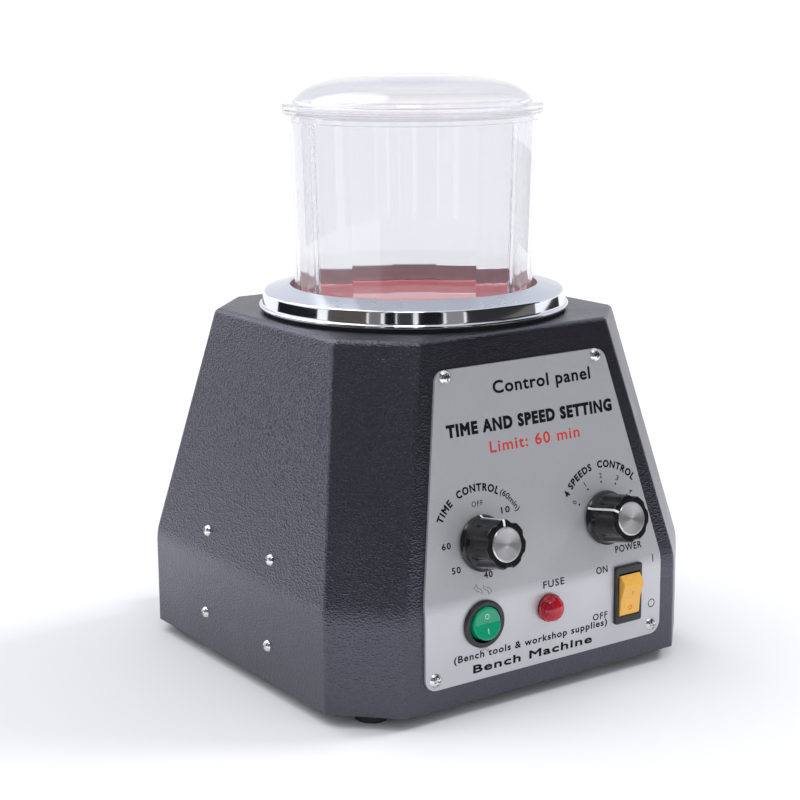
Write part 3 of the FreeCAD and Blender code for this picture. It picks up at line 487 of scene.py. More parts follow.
BLACK_INK = moulded("black_ink", (0.006, 0.006, 0.007), 0.6, Specular_IOR_Level=0.15)
RED_INK = moulded("red_ink", (0.6, 0.03, 0.025), 0.6, Specular_IOR_Level=0.2)
WHITE_PAINT = moulded("white_paint", (0.88, 0.88, 0.86), 0.4)
MARK_GREEN = moulded("mark_green", (0.45, 0.85, 0.65), 0.4)
MARK_ORANGE = moulded("mark_orange", (0.85, 0.16, 0.03), 0.4)
MARK_SHADE = moulded("mark_shade", (0.62, 0.3, 0.04), 0.4)
SATIN_CHROME = satin_chrome()
BOWL_PLASTIC = clear_plastic("bowl_plastic", (0.872, 0.868, 0.878))
# Pink, light colour for the ring's inner wall: a painted reflection of the red pad, lightened
# against the shade in the narrow gap.
RING_INSIDE_PAINTED_REFLECTION = moulded("ring_inside_painted_reflection", (0.8, 0.58, 0.61), 0.5, 0.00004)
LENS_CORE = moulded("lens_core", (0.02, 0.0015, 0.003), 0.3)
NODE_FINISHES = {
    "armature_core": laminations("armature_sheets"),
    "transformer_core": laminations("transformer_sheets"),
}


def paint_nodes():
    """Give every carried-over node the material of its slot, or its own."""
    for name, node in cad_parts.items():
        slot = node.material_slots[0].name.split(".")[0]
        node.material_slots[0].material = NODE_FINISHES.get(name, MATERIALS[slot])


# ---- clear bowl and lid

def facet_angles():
    """Angles round the bowl, with eight steps to a facet."""
    return [FACET_PHASE + HALF_FACET * i / 4 for i in range(8 * BOWL_FACETS)]


def facet_radius(corner, angle):
    """Distance to the inside of the bowl, where flat facets meet in sharp corners."""
    share = ((angle - FACET_PHASE) / HALF_FACET) % 2.0 - 1.0
    return corner * math.cos(HALF_FACET) / math.cos(share * HALF_FACET)


def clear_bowl():
    """Bowl with flat facets inside, round outside, under a round collar and rim."""
    low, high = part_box("bowl")
    bottom, top = low.z, high.z
    rim = top - FLANGE_T
    floor_top = bottom + BOWL_T
    foot_edge = 0.8 * MM
    profile = [(0, bottom)]
    profile += arc(BOWL_FOOT, bottom + foot_edge, foot_edge, -90, -10, 10)
    profile += [(COLLAR_RADIUS - EDGE, FACET_TOP), (COLLAR_RADIUS, FACET_TOP + EDGE)]
    profile += [(COLLAR_RADIUS, rim - 0.3 * MM), (COLLAR_RADIUS + 0.3 * MM, rim)]
    profile += arc(RIM_RADIUS, rim + EDGE, EDGE, -90, 0, 9)
    profile += arc(RIM_RADIUS, top - EDGE, EDGE, 0, 90, 9)
    profile += arc(BOWL_MOUTH + 0.4 * MM, top - 0.4 * MM, 0.4 * MM, 90, 180, 9)
    profile += [(BOWL_MOUTH, FACET_TOP + 0.3 * MM)]
    facets = [(BOWL_MOUTH, FACET_TOP), (55.9 * MM, floor_top + 1.5 * MM),
              (55.5 * MM, floor_top + 0.5 * MM), (54.6 * MM, floor_top)]
    profile += facets + [(0, floor_top)]

    def inside_flat(r, z, angle):
        return facet_radius(r, angle) if (r, z) in facets else r

    piece("clear_bowl", lathe(profile, facet_angles(), inside_flat), BOWL_PLASTIC, "bowl",
          ["bowl"], crease=12.0)


def dome_profile(radius, height, steps):
    """Half outline of the dome, from its foot up to the crown: a squarish, flattened ellipse."""
    points = []
    for i in range(steps + 1):
        turn = math.pi / 2 * i / steps
        r = radius * math.cos(turn) ** (2 / 3.6)
        points.append((r if i < steps else 0.0, DOME_BASE + height * math.sin(turn) ** (2 / 1.85)))
    return points


def dished(points):
    """Lower the middle of the crown into the shallow circle that a thumb finds."""
    slope, depth = 3.5 * MM, 0.45 * MM
    made = []
    for r, z in points:
        share = min(1.0, max(0.0, (THUMB_RADIUS - r) / slope))
        made.append((r, z - depth * share * share * (3 - 2 * share)))
    return made


def clear_lid():
    """Hollow domed lid with a flange, and a spigot that drops into the bowl's mouth."""
    low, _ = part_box("lid")
    wall = 2.0 * MM
    flange_low = low.z + 3.6 * MM
    flange_top = flange_low + FLANGE_T
    spigot_top = flange_low + 1 * MM
    inside = SPIGOT_RADIUS - 1.8 * MM
    outer = [p for p in dome_profile(DOME_RADIUS, DOME_HEIGHT, 60) if p[1] > flange_top]
    inner = [p for p in dome_profile(DOME_RADIUS - wall, DOME_HEIGHT - wall, 50)
             if p[1] > spigot_top and p[0] < inside - 0.1 * MM]
    profile = dished(inner)[::-1]
    profile += [(inside, spigot_top)]
    profile += arc(inside + EDGE, low.z + EDGE, EDGE, 180, 270, 3)
    profile += arc(SPIGOT_RADIUS - EDGE, low.z + EDGE, EDGE, -90, 0, 3)
    profile += [(SPIGOT_RADIUS, flange_low)]
    profile += arc(RIM_RADIUS, flange_low + EDGE, EDGE, -90, 0, 4)
    profile += arc(RIM_RADIUS - 0.2 * MM, flange_top - 0.7 * MM, 0.7 * MM, 0, 90, 4)
    profile += [(outer[0][0] + 0.3 * MM, flange_top)]
    profile += dished(outer)
    piece("clear_lid", lathe(profile, even_angles(216)), MATERIALS["clear_plastic"], "lid",
          ["lid"], crease=24.0)


# ---- chrome ring

def chrome_ring():
    """Spun ring: a sloping top, an upright edge and a bead along the foot, hollow beneath."""
    low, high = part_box("chrome_ring")
    foot, top = low.z, high.z
    inner_edge, outer_edge, wall = 0.8 * MM, 1.3 * MM, 1.3 * MM
    profile = [(RING_INNER, foot)]
    profile += arc(RING_INNER + inner_edge, top - inner_edge, inner_edge, 180, 100, 6)
    profile += arc(RING_OUTER - outer_edge, RING_SHOULDER - outer_edge, outer_edge, 75, 4, 8)
    profile += [(73.74 * MM, RING_SHOULDER - 1.5 * MM), (74.26 * MM, foot + 2.85 * MM),
                (74.3 * MM, foot + 2.5 * MM), (74.45 * MM, foot + 2.2 * MM)]
    profile += arc(74.75 * MM, foot + 1.1 * MM, 1.05 * MM, 80, -90, 10)
    profile += [(73.1 * MM, foot), (73.1 * MM, foot + 3 * MM),
                (RING_OUTER - wall, RING_SHOULDER - 1.6 * MM),
                (RING_INNER + wall, top - 1.5 * MM), (RING_INNER + wall, foot)]
    ring = piece("polished_ring", lathe(profile, even_angles(400)),
                 MATERIALS["polished_chrome"], "base", ["chrome_ring"],
                 crease=28.0)
    ring.data.materials.append(SATIN_CHROME)
    # The inner wall gets the painted pink reflection of the red pad, lightened against its shade.
    ring.data.materials.append(RING_INSIDE_PAINTED_REFLECTION)
    for face in ring.data.polygons:
        reach = Vector(face.center[:2]).length
        if face.normal.z > 0.8 and face.center.z > RING_SHOULDER:
            face.material_index = 1
        elif reach < RING_INNER + 0.1 * MM:
            face.material_index = 2


# ---- knobs

def soft_min(a, b, blend):
    """The smaller of a and b, with the corner between them rounded off."""
    return -blend * math.log(math.exp(-a / blend) + math.exp(-b / blend))


def fluted(r, z, angle):
    """Radius of the knob's grip where a flute may cut it; the flutes run out into the skirt."""
    flutes_within, run_out_height = 9.0 * MM, 1.6 * MM
    if z < KNOB_SKIRT or r < flutes_within:
        return r
    step = TAU / KNOB_LOBES
    off = (angle - math.pi / 2) % step - step / 2
    centre = KNOB_GRIP + FLUTE_RADIUS - FLUTE_DEPTH
    reach = FLUTE_RADIUS ** 2 - (centre * math.sin(off)) ** 2
    if reach <= 0:
        return r
    run_out = max(0.0, 1 - (z - KNOB_SKIRT) / run_out_height)
    flute = centre * math.cos(off) - math.sqrt(reach) + FLUTE_DEPTH * 1.6 * run_out ** 2
    return min(r, soft_min(r, flute, 0.12 * MM) + 0.02 * MM)


def knob_outline():
    """Outside of the knob from the flange's edge to the cap: (r, z), Z outwards."""
    low = KNOB_LIFT
    points = arc(KNOB_FLANGE - 0.5 * MM, low + 0.7 * MM, 0.5 * MM, 0, 60, 4)
    points += [(12.2 * MM, low + 1.5 * MM), (11.85 * MM, low + 2.0 * MM)]
    points += [(11.62 * MM, low + 2.6 * MM), (SKIRT_RADIUS, KNOB_SKIRT)]
    taper, grip_height = 0.45 * MM, KNOB_FACE - 1.0 * MM - KNOB_SKIRT
    for i in range(1, 13):
        share = i / 12
        points.append((SKIRT_RADIUS - taper * share, KNOB_SKIRT + grip_height * share))
    points += arc(SKIRT_RADIUS - 1.25 * MM, KNOB_FACE - 0.8 * MM, 0.8 * MM, 0, 90, 6)
    return points


def knob(name, uv, spin):
    """Fluted grip, hollow beneath and bored for the shaft, with a cap and a pointer line.

    The grip and the line are turned in their meshes, so that their boxes fit them closely.
    """
    body = name + "_knob"
    outline = knob_outline()
    hollow, hollow_top = 8.4 * MM, 3.5 * MM
    bore, bore_top = 3.0 * MM, KNOB_FACE - 4 * MM
    seat, seat_floor = CAP_RADIUS + 0.1 * MM, KNOB_FACE - 1.2 * MM
    under = [(0, bore_top), (bore, bore_top), (bore, hollow_top), (hollow, hollow_top),
             (hollow, KNOB_LIFT), (KNOB_UNDER, KNOB_LIFT)]
    recess = [(CAP_RADIUS + 0.3 * MM, KNOB_FACE), (seat, KNOB_FACE - 0.2 * MM),
              (seat, seat_floor), (0, seat_floor)]
    profile = under + outline + recess
    spun = panel_frame(uv, spin=spin)
    grip = lathe(profile, even_angles(KNOB_LOBES * 28), fluted)
    grip.transform(spun)
    piece(name + "_grip", grip, MATERIALS["knob_plastic"], body,
          [name + "_knob"], crease=34.0)
    cap_foot, cap_edge = KNOB_FACE - 1.1 * MM, 0.45 * MM
    cap = [(0, cap_foot), (CAP_RADIUS, cap_foot), (CAP_RADIUS, KNOB_FACE)]
    cap += arc(CAP_RADIUS - cap_edge, KNOB_FACE + 0.05 * MM, cap_edge, 0, 90, 5)
    cap += [(CAP_RADIUS - 1 * MM, KNOB_FACE + CAP_PROUD), (0, KNOB_FACE + CAP_PROUD)]
    piece(name + "_cap", lathe(cap, even_angles(96)), MATERIALS["spun_aluminium"], body,
          [name + "_knob_cap"], panel_frame(uv), 40.0)
    pointer_line(name, outline, spun, body)


def pointer_line(name, outline, place, body):
    """White paint line over the lobe that points: flange edge, grip, face, up to the cap."""
    half, thick = 0.52 * MM, 0.06 * MM
    path = outline[2:] + [(9.0 * MM, KNOB_FACE), (CAP_RADIUS + 0.35 * MM, KNOB_FACE)]
    bm = bmesh.new()
    rows = []
    for i, (r, z) in enumerate(path):
        before, after = path[max(0, i - 1)], path[min(len(path) - 1, i + 1)]
        along = Vector((after[0] - before[0], after[1] - before[1])).normalized()
        normal = Vector((along.y, -along.x))
        row = []
        for x, lift in ((-half, -1), (-half, 1), (0, 1.3), (half, 1), (half, -1)):
            radius = fluted(r, z, math.pi / 2 - math.asin(x / r)) + normal.x * thick * lift
            y = math.sqrt(radius ** 2 - x ** 2)
            row.append(bm.verts.new((x, y, z + normal.y * thick * lift)))
        rows.append(row)
    for low, high in zip(rows, rows[1:]):
        for j in range(5):
            k = (j + 1) % 5
            bm.faces.new((low[j], low[k], high[k], high[j]))
    bm.faces.new(rows[0])
    bm.faces.new(rows[-1][::-1])
    bm.transform(place)
    piece(name + "_pointer", bm, WHITE_PAINT, body, crease=50.0)


# ---- switches and fuse cap

def direction_paddle():
    """Round see-through rocker with a shallow fold across its middle."""
    radius, foot, edge = 7.6 * MM, -1.6 * MM, 0.7 * MM
    profile = [(0, foot), (radius, foot)]
    profile += arc(radius - edge, PADDLE_FACE - edge, edge, 0, 90, 6)
    profile += [(r * radius, PADDLE_FACE) for r in (0.75, 0.5, 0.25, 0.0)]
    bm = lathe(profile, even_angles(72))
    for vertex in bm.verts:
        if vertex.co.z > PADDLE_FACE / 2:
            vertex.co.z += PADDLE_FOLD * abs(vertex.co.y)
    place = panel_frame(DIRECTION_UV, DIRECTION_PIVOT, DIRECTION_TILT)
    piece("green_paddle", bm, MATERIALS["green_plastic"], "direction_rocker",
          ["direction_rocker"], place)

    def face(x, y, z):
        return place @ Vector((x, y, PADDLE_FACE + PADDLE_FOLD * abs(y) + z))

    marks = []
    print_outline(marks, circle((0, 3.2 * MM), 1.0 * MM), 0.35 * MM)
    print_bar(marks, (0, -3.4 * MM), 0.4 * MM, 2.4 * MM)
    lay_ink("green_paddle_marks", marks, MARK_GREEN, "direction_rocker", face, FOLD_CUT)


def paddle_point(s, lift):
    """Y and Z about the power switch's pivot, s along the upper or lower half of its face."""
    edge = math.radians(POWER_HALF_EDGE)
    end = Vector((POWER_ARC * math.sin(edge), POWER_ARC * math.cos(edge)))
    along = (end - Vector((0, POWER_CROWN))).normalized()
    normal = Vector((-along.y, along.x))
    spot = Vector((0, POWER_CROWN)) + along * abs(s) + normal * lift
    return math.copysign(spot.x, s), spot.y


def power_marks():
    """The nought and the stroke on the yellow rocker, which keeps its CAD mesh."""
    place = panel_frame(POWER_UV, POWER_PIVOT, POWER_TILT)

    def face(x, y, z):
        across, up = paddle_point(y, z)
        return place @ Vector((x, across, up))

    zero, one = [], []
    print_outline(zero, circle((0, -4.6 * MM), 1.0 * MM), 0.45 * MM)
    print_bar(one, (0, 3.2 * MM), 0.45 * MM, 2.2 * MM)
    lay_ink("yellow_paddle_zero", zero, MARK_ORANGE, "power_rocker", face, FOLD_CUT)
    lay_ink("yellow_paddle_one", one, MARK_SHADE, "power_rocker", face, FOLD_CUT)


def lens_dome(radius, foot, height):
    """Half outline of the fuse cap's dome, from its foot up to the axis."""
    points = []
    for i in range(LENS_STEPS + 1):
        turn = math.pi / 2 * i / LENS_STEPS
        reach = radius * math.cos(turn) ** 0.8 if i < LENS_STEPS else 0.0
        points.append((reach, foot + height * math.sin(turn) ** 0.95))
    return points


def ribbed(r, z, angle):
    """Radius of the lens core, whose narrow part has eight ribs."""
    if r > 3 * MM or math.cos(8 * angle) <= 0:
        return r
    return 0.9 * r


def fuse_lens():
    """Domed red lens, hollow, over a dark ribbed core."""
    foot, inside, outside = -6.4 * MM, 4.2 * MM, 4.75 * MM
    lip, lip_edge = 6.2 * MM, 0.4 * MM
    profile = [(inside, foot), (outside, foot), (outside, 0.9 * MM)]
    profile += arc(lip, 1.3 * MM, lip_edge, -90, 0, 4) + arc(lip, 1.6 * MM, lip_edge, 0, 80, 4)
    profile += lens_dome(5.95 * MM, 2.5 * MM, 4.8 * MM)
    profile += lens_dome(4.7 * MM, 1.6 * MM, 4.6 * MM)[::-1]
    profile.append((inside, 1.0 * MM))
    place = panel_frame(FUSE_UV)
    piece("fuse_lens", lathe(profile, even_angles(72)), MATERIALS["red_lens"], "fuse_cap",
          ["fuse_cap"], place, 32.0)
    core = [(0, -6.0 * MM), (4.0 * MM, -6.0 * MM), (4.0 * MM, -0.5 * MM), (2.3 * MM, -0.3 * MM),
            (2.1 * MM, 2.6 * MM)]
    core += arc(1.3 * MM, 2.8 * MM, 0.7 * MM, 0, 90, 4) + [(0, 3.5 * MM)]
    piece("fuse_lens_core", lathe(core, even_angles(64), ribbed), LENS_CORE, "fuse_cap",
          (), place, 32.0)


# ---- lettering on the panel

def glyph_mesh(words, spacing):
    """Flat mesh of some words in Blender's own font."""
    curve = bpy.data.curves.new("words", "FONT")
    curve.body = words
    curve.space_character = spacing
    curve.resolution_u = 3
    holder = show("words", curve)
    depsgraph = bpy.context.evaluated_depsgraph_get()
    mesh = bpy.data.meshes.new_from_object(holder.evaluated_get(depsgraph))
    bpy.data.objects.remove(holder)
    bpy.data.curves.remove(curve)
    return mesh


def thickened(points, faces, growth):
    """Push the outline of flat letters outwards by growth, with corners kept from shooting out."""
    sides = {}
    for face in faces:
        for a, b in zip(face, face[1:] + face[:1]):
            sides[(a, b)] = (b, a) not in sides
            if (b, a) in sides:
                sides[(b, a)] = False
    outwards = {}
    for (a, b), is_rim in sides.items():
        along = Vector(points[b]) - Vector(points[a])
        if is_rim and along.length > 1e-9:
            out = Vector((along.y, -along.x)).normalized()
            outwards.setdefault(a, []).append(out)
            outwards.setdefault(b, []).append(out)
    grown = [Vector(p) for p in points]
    for i, normals in outwards.items():
        middle = sum(normals, Vector((0, 0)))
        if middle.length > 0.2:
            middle.normalize()
            grown[i] += middle * growth / max(0.75, middle.dot(normals[0]))
    return [tuple(p) for p in grown]


def print_words(ink, words, middle, width, height, turn=0.0, arc_radius=None, bold=0.0,
                spacing=1.0):
    """Add words to a list of flat polygons on the panel: middle is (u, v).

    With an arc_radius, middle is the arc's centre and the words stand turn radians from the top.
    """
    mesh = glyph_mesh(words, spacing)
    xs = [v.co.x for v in mesh.vertices]
    ys = [v.co.y for v in mesh.vertices]
    x_mid, y_mid = (min(xs) + max(xs)) / 2, (min(ys) + max(ys)) / 2
    fit_x = (width - 2 * bold) / (max(xs) - min(xs))
    fit_y = (height - 2 * bold) / (max(ys) - min(ys))
    points = [((x - x_mid) * fit_x, (y - y_mid) * fit_y) for x, y in zip(xs, ys)]
    faces = [list(p.vertices) for p in mesh.polygons]
    bpy.data.meshes.remove(mesh)
    if bold:
        points = thickened(points, faces, bold)
    placed = []
    for x, y in points:
        if arc_radius:
            swing = turn + x / arc_radius
            reach = arc_radius + y
            x, y = reach * math.sin(swing), reach * math.cos(swing)
        placed.append((middle[0] + x, middle[1] + y))
    ink.append((placed, faces))


def print_outline(ink, points, width):
    """Add a closed thin line through points to a list of flat polygons."""
    count = len(points)
    outer, inner = [], []
    for i, (x, y) in enumerate(points):
        before, after = Vector(points[i - 1]), Vector(points[(i + 1) % count])
        here = Vector((x, y))
        side_in = (here - before).normalized()
        side_out = (after - here).normalized()
        across = Vector((side_in.y + side_out.y, -side_in.x - side_out.x)).normalized()
        outer.append(tuple(here + across * width / 2))
        inner.append(tuple(here - across * width / 2))
    faces = [[i, (i + 1) % count, count + (i + 1) % count, count + i] for i in range(count)]
    ink.append((outer + inner, faces))


def circle(centre, radius, count=24):
    return [(centre[0] + radius * math.cos(TAU * i / count),
             centre[1] + radius * math.sin(TAU * i / count)) for i in range(count)]


def print_dot(ink, centre, radius, count=14):
    ink.append((circle(centre, radius, count), [list(range(count))]))


def print_bar(ink, centre, width, height):
    u, v = centre
    corners = [(u + x * width / 2, v + y * height / 2)
               for x, y in ((-1, -1), (1, -1), (1, 1), (-1, 1))]
    ink.append((corners, [[0, 1, 2, 3]]))


def lay_ink(name, ink, material, body="base", place=panel_point, cuts=BEND_CUTS):
    """Turn flat polygons into one thin printed film that follows the surface it is on.

    place(x, y, z) is the surface, and cuts are the heights where the film has to bend with it.
    """
    bm = bmesh.new()
    for points, faces in ink:
        verts = [bm.verts.new((x, y, 0)) for x, y in points]
        for face in faces:
            bm.faces.new([verts[i] for i in face])
    bmesh.ops.remove_doubles(bm, verts=bm.verts, dist=1e-6)
    for cut in cuts:
        geometry = bm.verts[:] + bm.edges[:] + bm.faces[:]
        bmesh.ops.bisect_plane(bm, geom=geometry, plane_co=(0, cut, 0), plane_no=(0, 1, 0),
                               dist=1e-6)
    bmesh.ops.recalc_face_normals(bm, faces=bm.faces)
    made = bmesh.ops.extrude_face_region(bm, geom=bm.faces[:])
    for vertex in made["geom"]:
        if isinstance(vertex, bmesh.types.BMVert):
            vertex.co.z = INK_T
    for vertex in bm.verts:
        vertex.co = place(vertex.co.x, vertex.co.y, vertex.co.z)
    piece(name, bm, material, body, (), None, 40.0)


def panel_print():
    """The panel's generic words, dial numbers, speed dots and signs."""
    black, red = [], []
    print_words(black, "Control panel", (10.3 * MM, 93.0 * MM), 57.5 * MM, 7.8 * MM,
                bold=0.22 * MM, spacing=1.1)
    print_words(black, "TIME AND SPEED SETTING", (1.6 * MM, 77.4 * MM), 96.7 * MM, 6.1 * MM,
                bold=0.46 * MM, spacing=1.2)
    print_words(red, "Limit: 60 min", (2.3 * MM, 67.5 * MM), 52.5 * MM, 5.4 * MM,
                bold=0.12 * MM, spacing=1.15)
    timer, speed = TIMER_UV, SPEED_UV
    timer_arc, speed_arc, digit_arc = 25.1 * MM, 26.3 * MM, 20.0 * MM
    print_words(black, "TIME  CONTROL", timer, 39.6 * MM, 3.7 * MM, math.radians(-14.5),
                timer_arc, bold=0.2 * MM, spacing=1.25)
    print_words(black, "(60min)", timer, 13.3 * MM, 3.8 * MM, math.radians(48), timer_arc,
                bold=0.05 * MM)
    print_words(black, "4 SPEEDS  CONTROL", (speed[0], speed[1] - 1.0 * MM), 49.0 * MM, 3.6 * MM,
                math.radians(-3.3), speed_arc, bold=0.2 * MM, spacing=1.2)
    places = [(words, (u * MM, v * MM)) for words, u, v in (
        ("10", -19.4, 38.4), ("40", -33.2, 11.2), ("50", -50.3, 16.1), ("60", -54.1, 27.5))]
    for words, degrees, reach in (("20", 90, 18.5 * MM), ("30", 135, 16.0 * MM)):
        turn = math.radians(degrees)
        place = (timer[0] + reach * math.sin(turn), timer[1] + reach * math.cos(turn))
        places.append((words, place))
    for words, place in places:
        print_words(black, words, place, 4.9 * MM, 3.0 * MM, bold=0.1 * MM, spacing=1.2)
    print_words(black, "OFF", (-34.6 * MM, 43.6 * MM), 6.1 * MM, 2.5 * MM, spacing=1.2)
    for digit, degrees in enumerate((-60, -30, 0, 30, 60)):
        turn = math.radians(degrees)
        out = Vector((math.sin(turn), math.cos(turn)))
        width = (0.4 if digit == 1 else 1.6) * MM
        print_words(black, str(digit), speed, width, 2.4 * MM, turn, digit_arc)
        print_dot(black, tuple(Vector(speed) + out * 17.0 * MM), 0.5 * MM)
    print_words(black, "POWER", (50.2 * MM, 9.2 * MM), 16.5 * MM, 3.4 * MM, bold=0.1 * MM,
                spacing=1.15)
    print_words(black, "ON", (32.5 * MM, 1.4 * MM), 7.0 * MM, 3.3 * MM, bold=0.08 * MM,
                spacing=1.1)
    print_words(black, "OFF", (31.6 * MM, -20.9 * MM), 9.0 * MM, 3.3 * MM, bold=0.08 * MM,
                spacing=1.2)
    print_bar(black, (64.6 * MM, 1.4 * MM), 0.45 * MM, 3.8 * MM)
    print_outline(black, circle((64.0 * MM, -20.9 * MM), 1.9 * MM), 0.4 * MM)
    print_words(black, "FUSE", (3.3 * MM, 0.7 * MM), 12.5 * MM, 3.3 * MM, bold=0.08 * MM,
                spacing=1.2)
    print_words(black, "(Bench tools & workshop supplies)", (-9.0 * MM, -25.0 * MM), 90 * MM,
                4.4 * MM, bold=0.13 * MM, spacing=1.15)
    print_words(black, "Bench Machine", (-8.3 * MM, -31.0 * MM), 70 * MM, 4.0 * MM,
                bold=0.22 * MM, spacing=1.1)
    arrow = ((0.6, 0.1), (3.4, 0.1), (3.4, -0.9), (5.4, 0.9), (3.4, 1.6), (3.4, 1.1), (0.6, 1.1))
    for v, size in ((5.2, 1.0), (-22.4, 0.55)):
        for flip in (size, -size):
            points = [((-37.2 + 0.88 * flip * x) * MM, (v + flip * (1.5 * y - 0.6 * x + 0.5)) * MM)
                      for x, y in arrow]
            print_outline(black, points, (0.1 + 0.12 * size) * MM)
    lay_ink("panel_print_black", black, BLACK_INK)
    lay_ink("panel_print_red", red, RED_INK)


# ---- studio

def towards(azimuth, elevation):
    """Direction from the object. Azimuth 0 is towards -Y, 90 towards -X."""
    a, e = math.radians(azimuth), math.radians(elevation)
    return Vector((-math.sin(a) * math.cos(e), -math.cos(a) * math.cos(e), math.sin(e)))


def square(name, side):
    """Flat square about the origin, facing up."""
    half = side / 2
    mesh = bpy.data.meshes.new(name)
    corners = [(-half, -half, 0), (half, -half, 0), (half, half, 0), (-half, half, 0)]
    mesh.from_pydata(corners, [], [(0, 1, 2, 3)])
    return mesh


def floor():
    """Plain pale floor, wide enough that the camera never sees past it."""
    mesh = square("floor", 160.0)
    plane = show("floor", mesh)
    finish = Finish("floor", (0.9, 0.9, 0.905), Roughness=0.9, Specular_IOR_Level=0.0)
    finish.colours(finish.noise(3.0), (0.3, (0.89, 0.89, 0.895)), (0.7, (0.91, 0.91, 0.915)))
    mesh.materials.append(finish.material)


def card(name, azimuths, near, far, colour):
    """Curved studio sheet, seen only in reflections.

    It runs from near to far, each a distance from the object's axis and a height.
    """
    bm = bmesh.new()
    span = azimuths[1] - azimuths[0]
    steps = max(6, round(abs(span) / SHEET_TURN))
    columns = []
    for i in range(steps + 1):
        out = towards(azimuths[0] + span * i / steps, 0)
        columns.append([bm.verts.new((reach * out.x, reach * out.y, z))
                        for reach, z in (near, far)])
    for a, b in zip(columns, columns[1:]):
        bm.faces.new((a[0], b[0], b[1], a[1]))
    mesh = bpy.data.meshes.new(name)
    bm.to_mesh(mesh)
    bm.free()
    glow(show(name, mesh), colour, 1.0)


def softbox(azimuth, elevation, size, brightness):
    """Lamp head above the camera, which shows only as a highlight."""
    out = towards(azimuth, elevation)
    made = show("softbox", square("softbox", size))
    made.matrix_world = (Matrix.Translation(out * SOFTBOX_REACH)
                         @ out.to_track_quat("Z", "Y").to_matrix().to_4x4())
    glow(made, (1.0, 1.0, 1.0), brightness)


def glow(made, colour, brightness):
    """Make a studio sheet emit, and keep it out of everything but reflections."""
    finish = Finish(made.name, (0.0, 0.0, 0.0), Specular_IOR_Level=0.0,
                    Emission_Strength=brightness)
    finish.set("Emission Color", colour)
    made.data.materials.append(finish.material)
    made.visible_camera = False
    made.visible_diffuse = False
    made.visible_shadow = False
    made.visible_transmission = False


def dark_room():
    """The room round the object, as the chrome and the gloss show it.

    Dark things stand behind the camera and on both sides, with one bright sheet at the left rear.
    The floor is lit near the object and in shade further out, in front.
    """
    tall = (0.0, 1.9)
    for name, azimuths, heights, colour in (
            ("rear_left_sheet", (176, 141), (0.26, 0.9), (1.4, 1.4, 1.6)),
            ("far_left_flag", (155, 109), (0.0, 0.26), (0.012, 0.012, 0.016)),
            ("left_curtain", (100, 69), tall, (0.10, 0.088, 0.08)),
            ("left_stand", (67.5, 58.5), tall, (0.2, 0.19, 0.185)),
            ("dark_gap", (56, 48), tall, (0.01, 0.01, 0.012)),
            ("operator", (47, 35.5), tall, (0.045, 0.045, 0.05)),
            ("dark_door", (32, 14), tall, (0.012, 0.012, 0.014)),
            ("shelf", (12, -1), tall, (0.26, 0.26, 0.26)),
            ("right_bench", (-6, -65), (0.0, 0.2), (0.17, 0.163, 0.155)),
            ("right_curtain", (-3, -72), (0.2, 1.9), (0.03, 0.03, 0.033)),
            ("far_right_flag", (-65, -103), (0.0, 0.12), (0.03, 0.03, 0.033))):
        low, high = heights
        card(name, azimuths, (CURTAIN_REACH, low), (CURTAIN_REACH, high), colour)
    for name, azimuths, near, far, colour in (
            ("near_floor", (0, 360), 0.2, 0.5, (1.45, 1.45, 1.55)),
            ("front_floor", (-80, 65), 0.5, CURTAIN_REACH, (0.08, 0.08, 0.085))):
        card(name, azimuths, (near, FLOOR_SHEET_Z), (far, FLOOR_SHEET_Z), colour)


def sun(name, azimuth, elevation, strength, angle, in_reflections=True):
    """Broad soft light; angle is its apparent width in degrees."""
    light = bpy.data.lights.new(name, "SUN")
    light.energy = strength
    light.angle = math.radians(angle)
    lamp = show(name, light)
    out = towards(azimuth, elevation)
    lamp.rotation_euler = out.to_track_quat("Z", "Y").to_euler()
    lamp.location = out
    lamp.visible_glossy = in_reflections
    lamp.visible_transmission = in_reflections


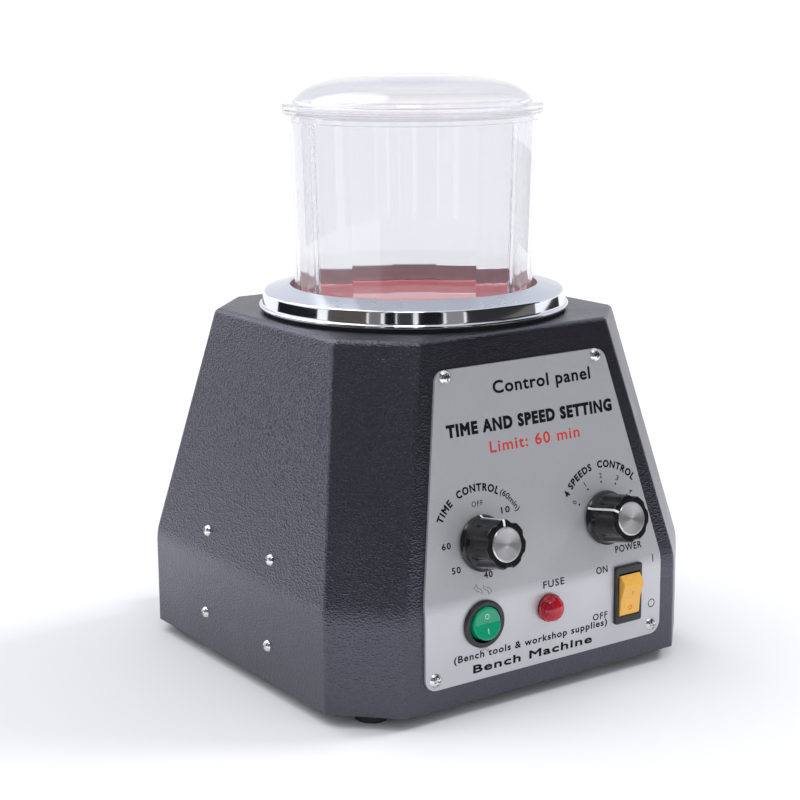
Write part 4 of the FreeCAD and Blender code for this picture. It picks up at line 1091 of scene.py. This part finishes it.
def studio_air():
    """Bright surround: white at eye level, bluer and dimmer higher up, brighter overhead."""
    world = bpy.data.worlds.new("studio")
    bpy.context.scene.world = world
    world.use_nodes = True
    tree = world.node_tree
    background = tree.nodes["Background"]
    place = tree.nodes.new("ShaderNodeTexCoord")
    split = tree.nodes.new("ShaderNodeSeparateXYZ")
    ramp = tree.nodes.new("ShaderNodeValToRGB")
    tree.links.new(place.outputs["Generated"], split.inputs["Vector"])
    tree.links.new(split.outputs["Z"], ramp.inputs["Fac"])
    tree.links.new(ramp.outputs["Color"], background.inputs["Color"])
    set_stops(ramp, ((0.02, (1.0, 1.0, 1.0)), (0.1, (0.76, 0.76, 0.77)),
                     (0.35, (0.62, 0.64, 0.69)), (0.65, (0.56, 0.59, 0.66)),
                     (1.0, (0.72, 0.72, 0.72))))
    background.inputs["Strength"].default_value = 1.2


def camera():
    """View of the panel from the left and a little above the lid."""
    eye = Vector((-503.2, -713.3, 312.1)) * MM
    look = Vector((0.5567, 0.8028, -0.2136)).normalized()
    roll = -0.411
    data = bpy.data.cameras.new("camera")
    data.lens = 80.73
    data.sensor_width = 36.0
    data.clip_start = 0.01
    made = show("camera", data)
    turn = look.to_track_quat("-Z", "Y").to_matrix().to_4x4()
    made.matrix_world = Matrix.Translation(eye) @ turn @ turn_about("Z", roll)
    bpy.context.scene.camera = made


def light_paths():
    """Enough bounces for light to find its way through the clear walls."""
    paths = bpy.context.scene.cycles
    paths.max_bounces = CLEAR_BOUNCES
    paths.transmission_bounces = CLEAR_BOUNCES
    paths.glossy_bounces = CLEAR_BOUNCES
    paths.diffuse_bounces = 4


paint_nodes()
clear_bowl()
clear_lid()
chrome_ring()
knob("timer", TIMER_UV, spin=0.0)
knob("speed", SPEED_UV, spin=SPEED_REST)
direction_paddle()
power_marks()
fuse_lens()
panel_print()
floor()
studio_air()
dark_room()
softbox(azimuth=40, elevation=60, size=0.42, brightness=5.0)
sun("key", azimuth=-75, elevation=42, strength=1.1, angle=16, in_reflections=False)
sun("sweep", azimuth=150, elevation=52, strength=1.0, angle=50)
camera()
light_paths()
bpy.context.scene.view_settings.view_transform = "Standard"
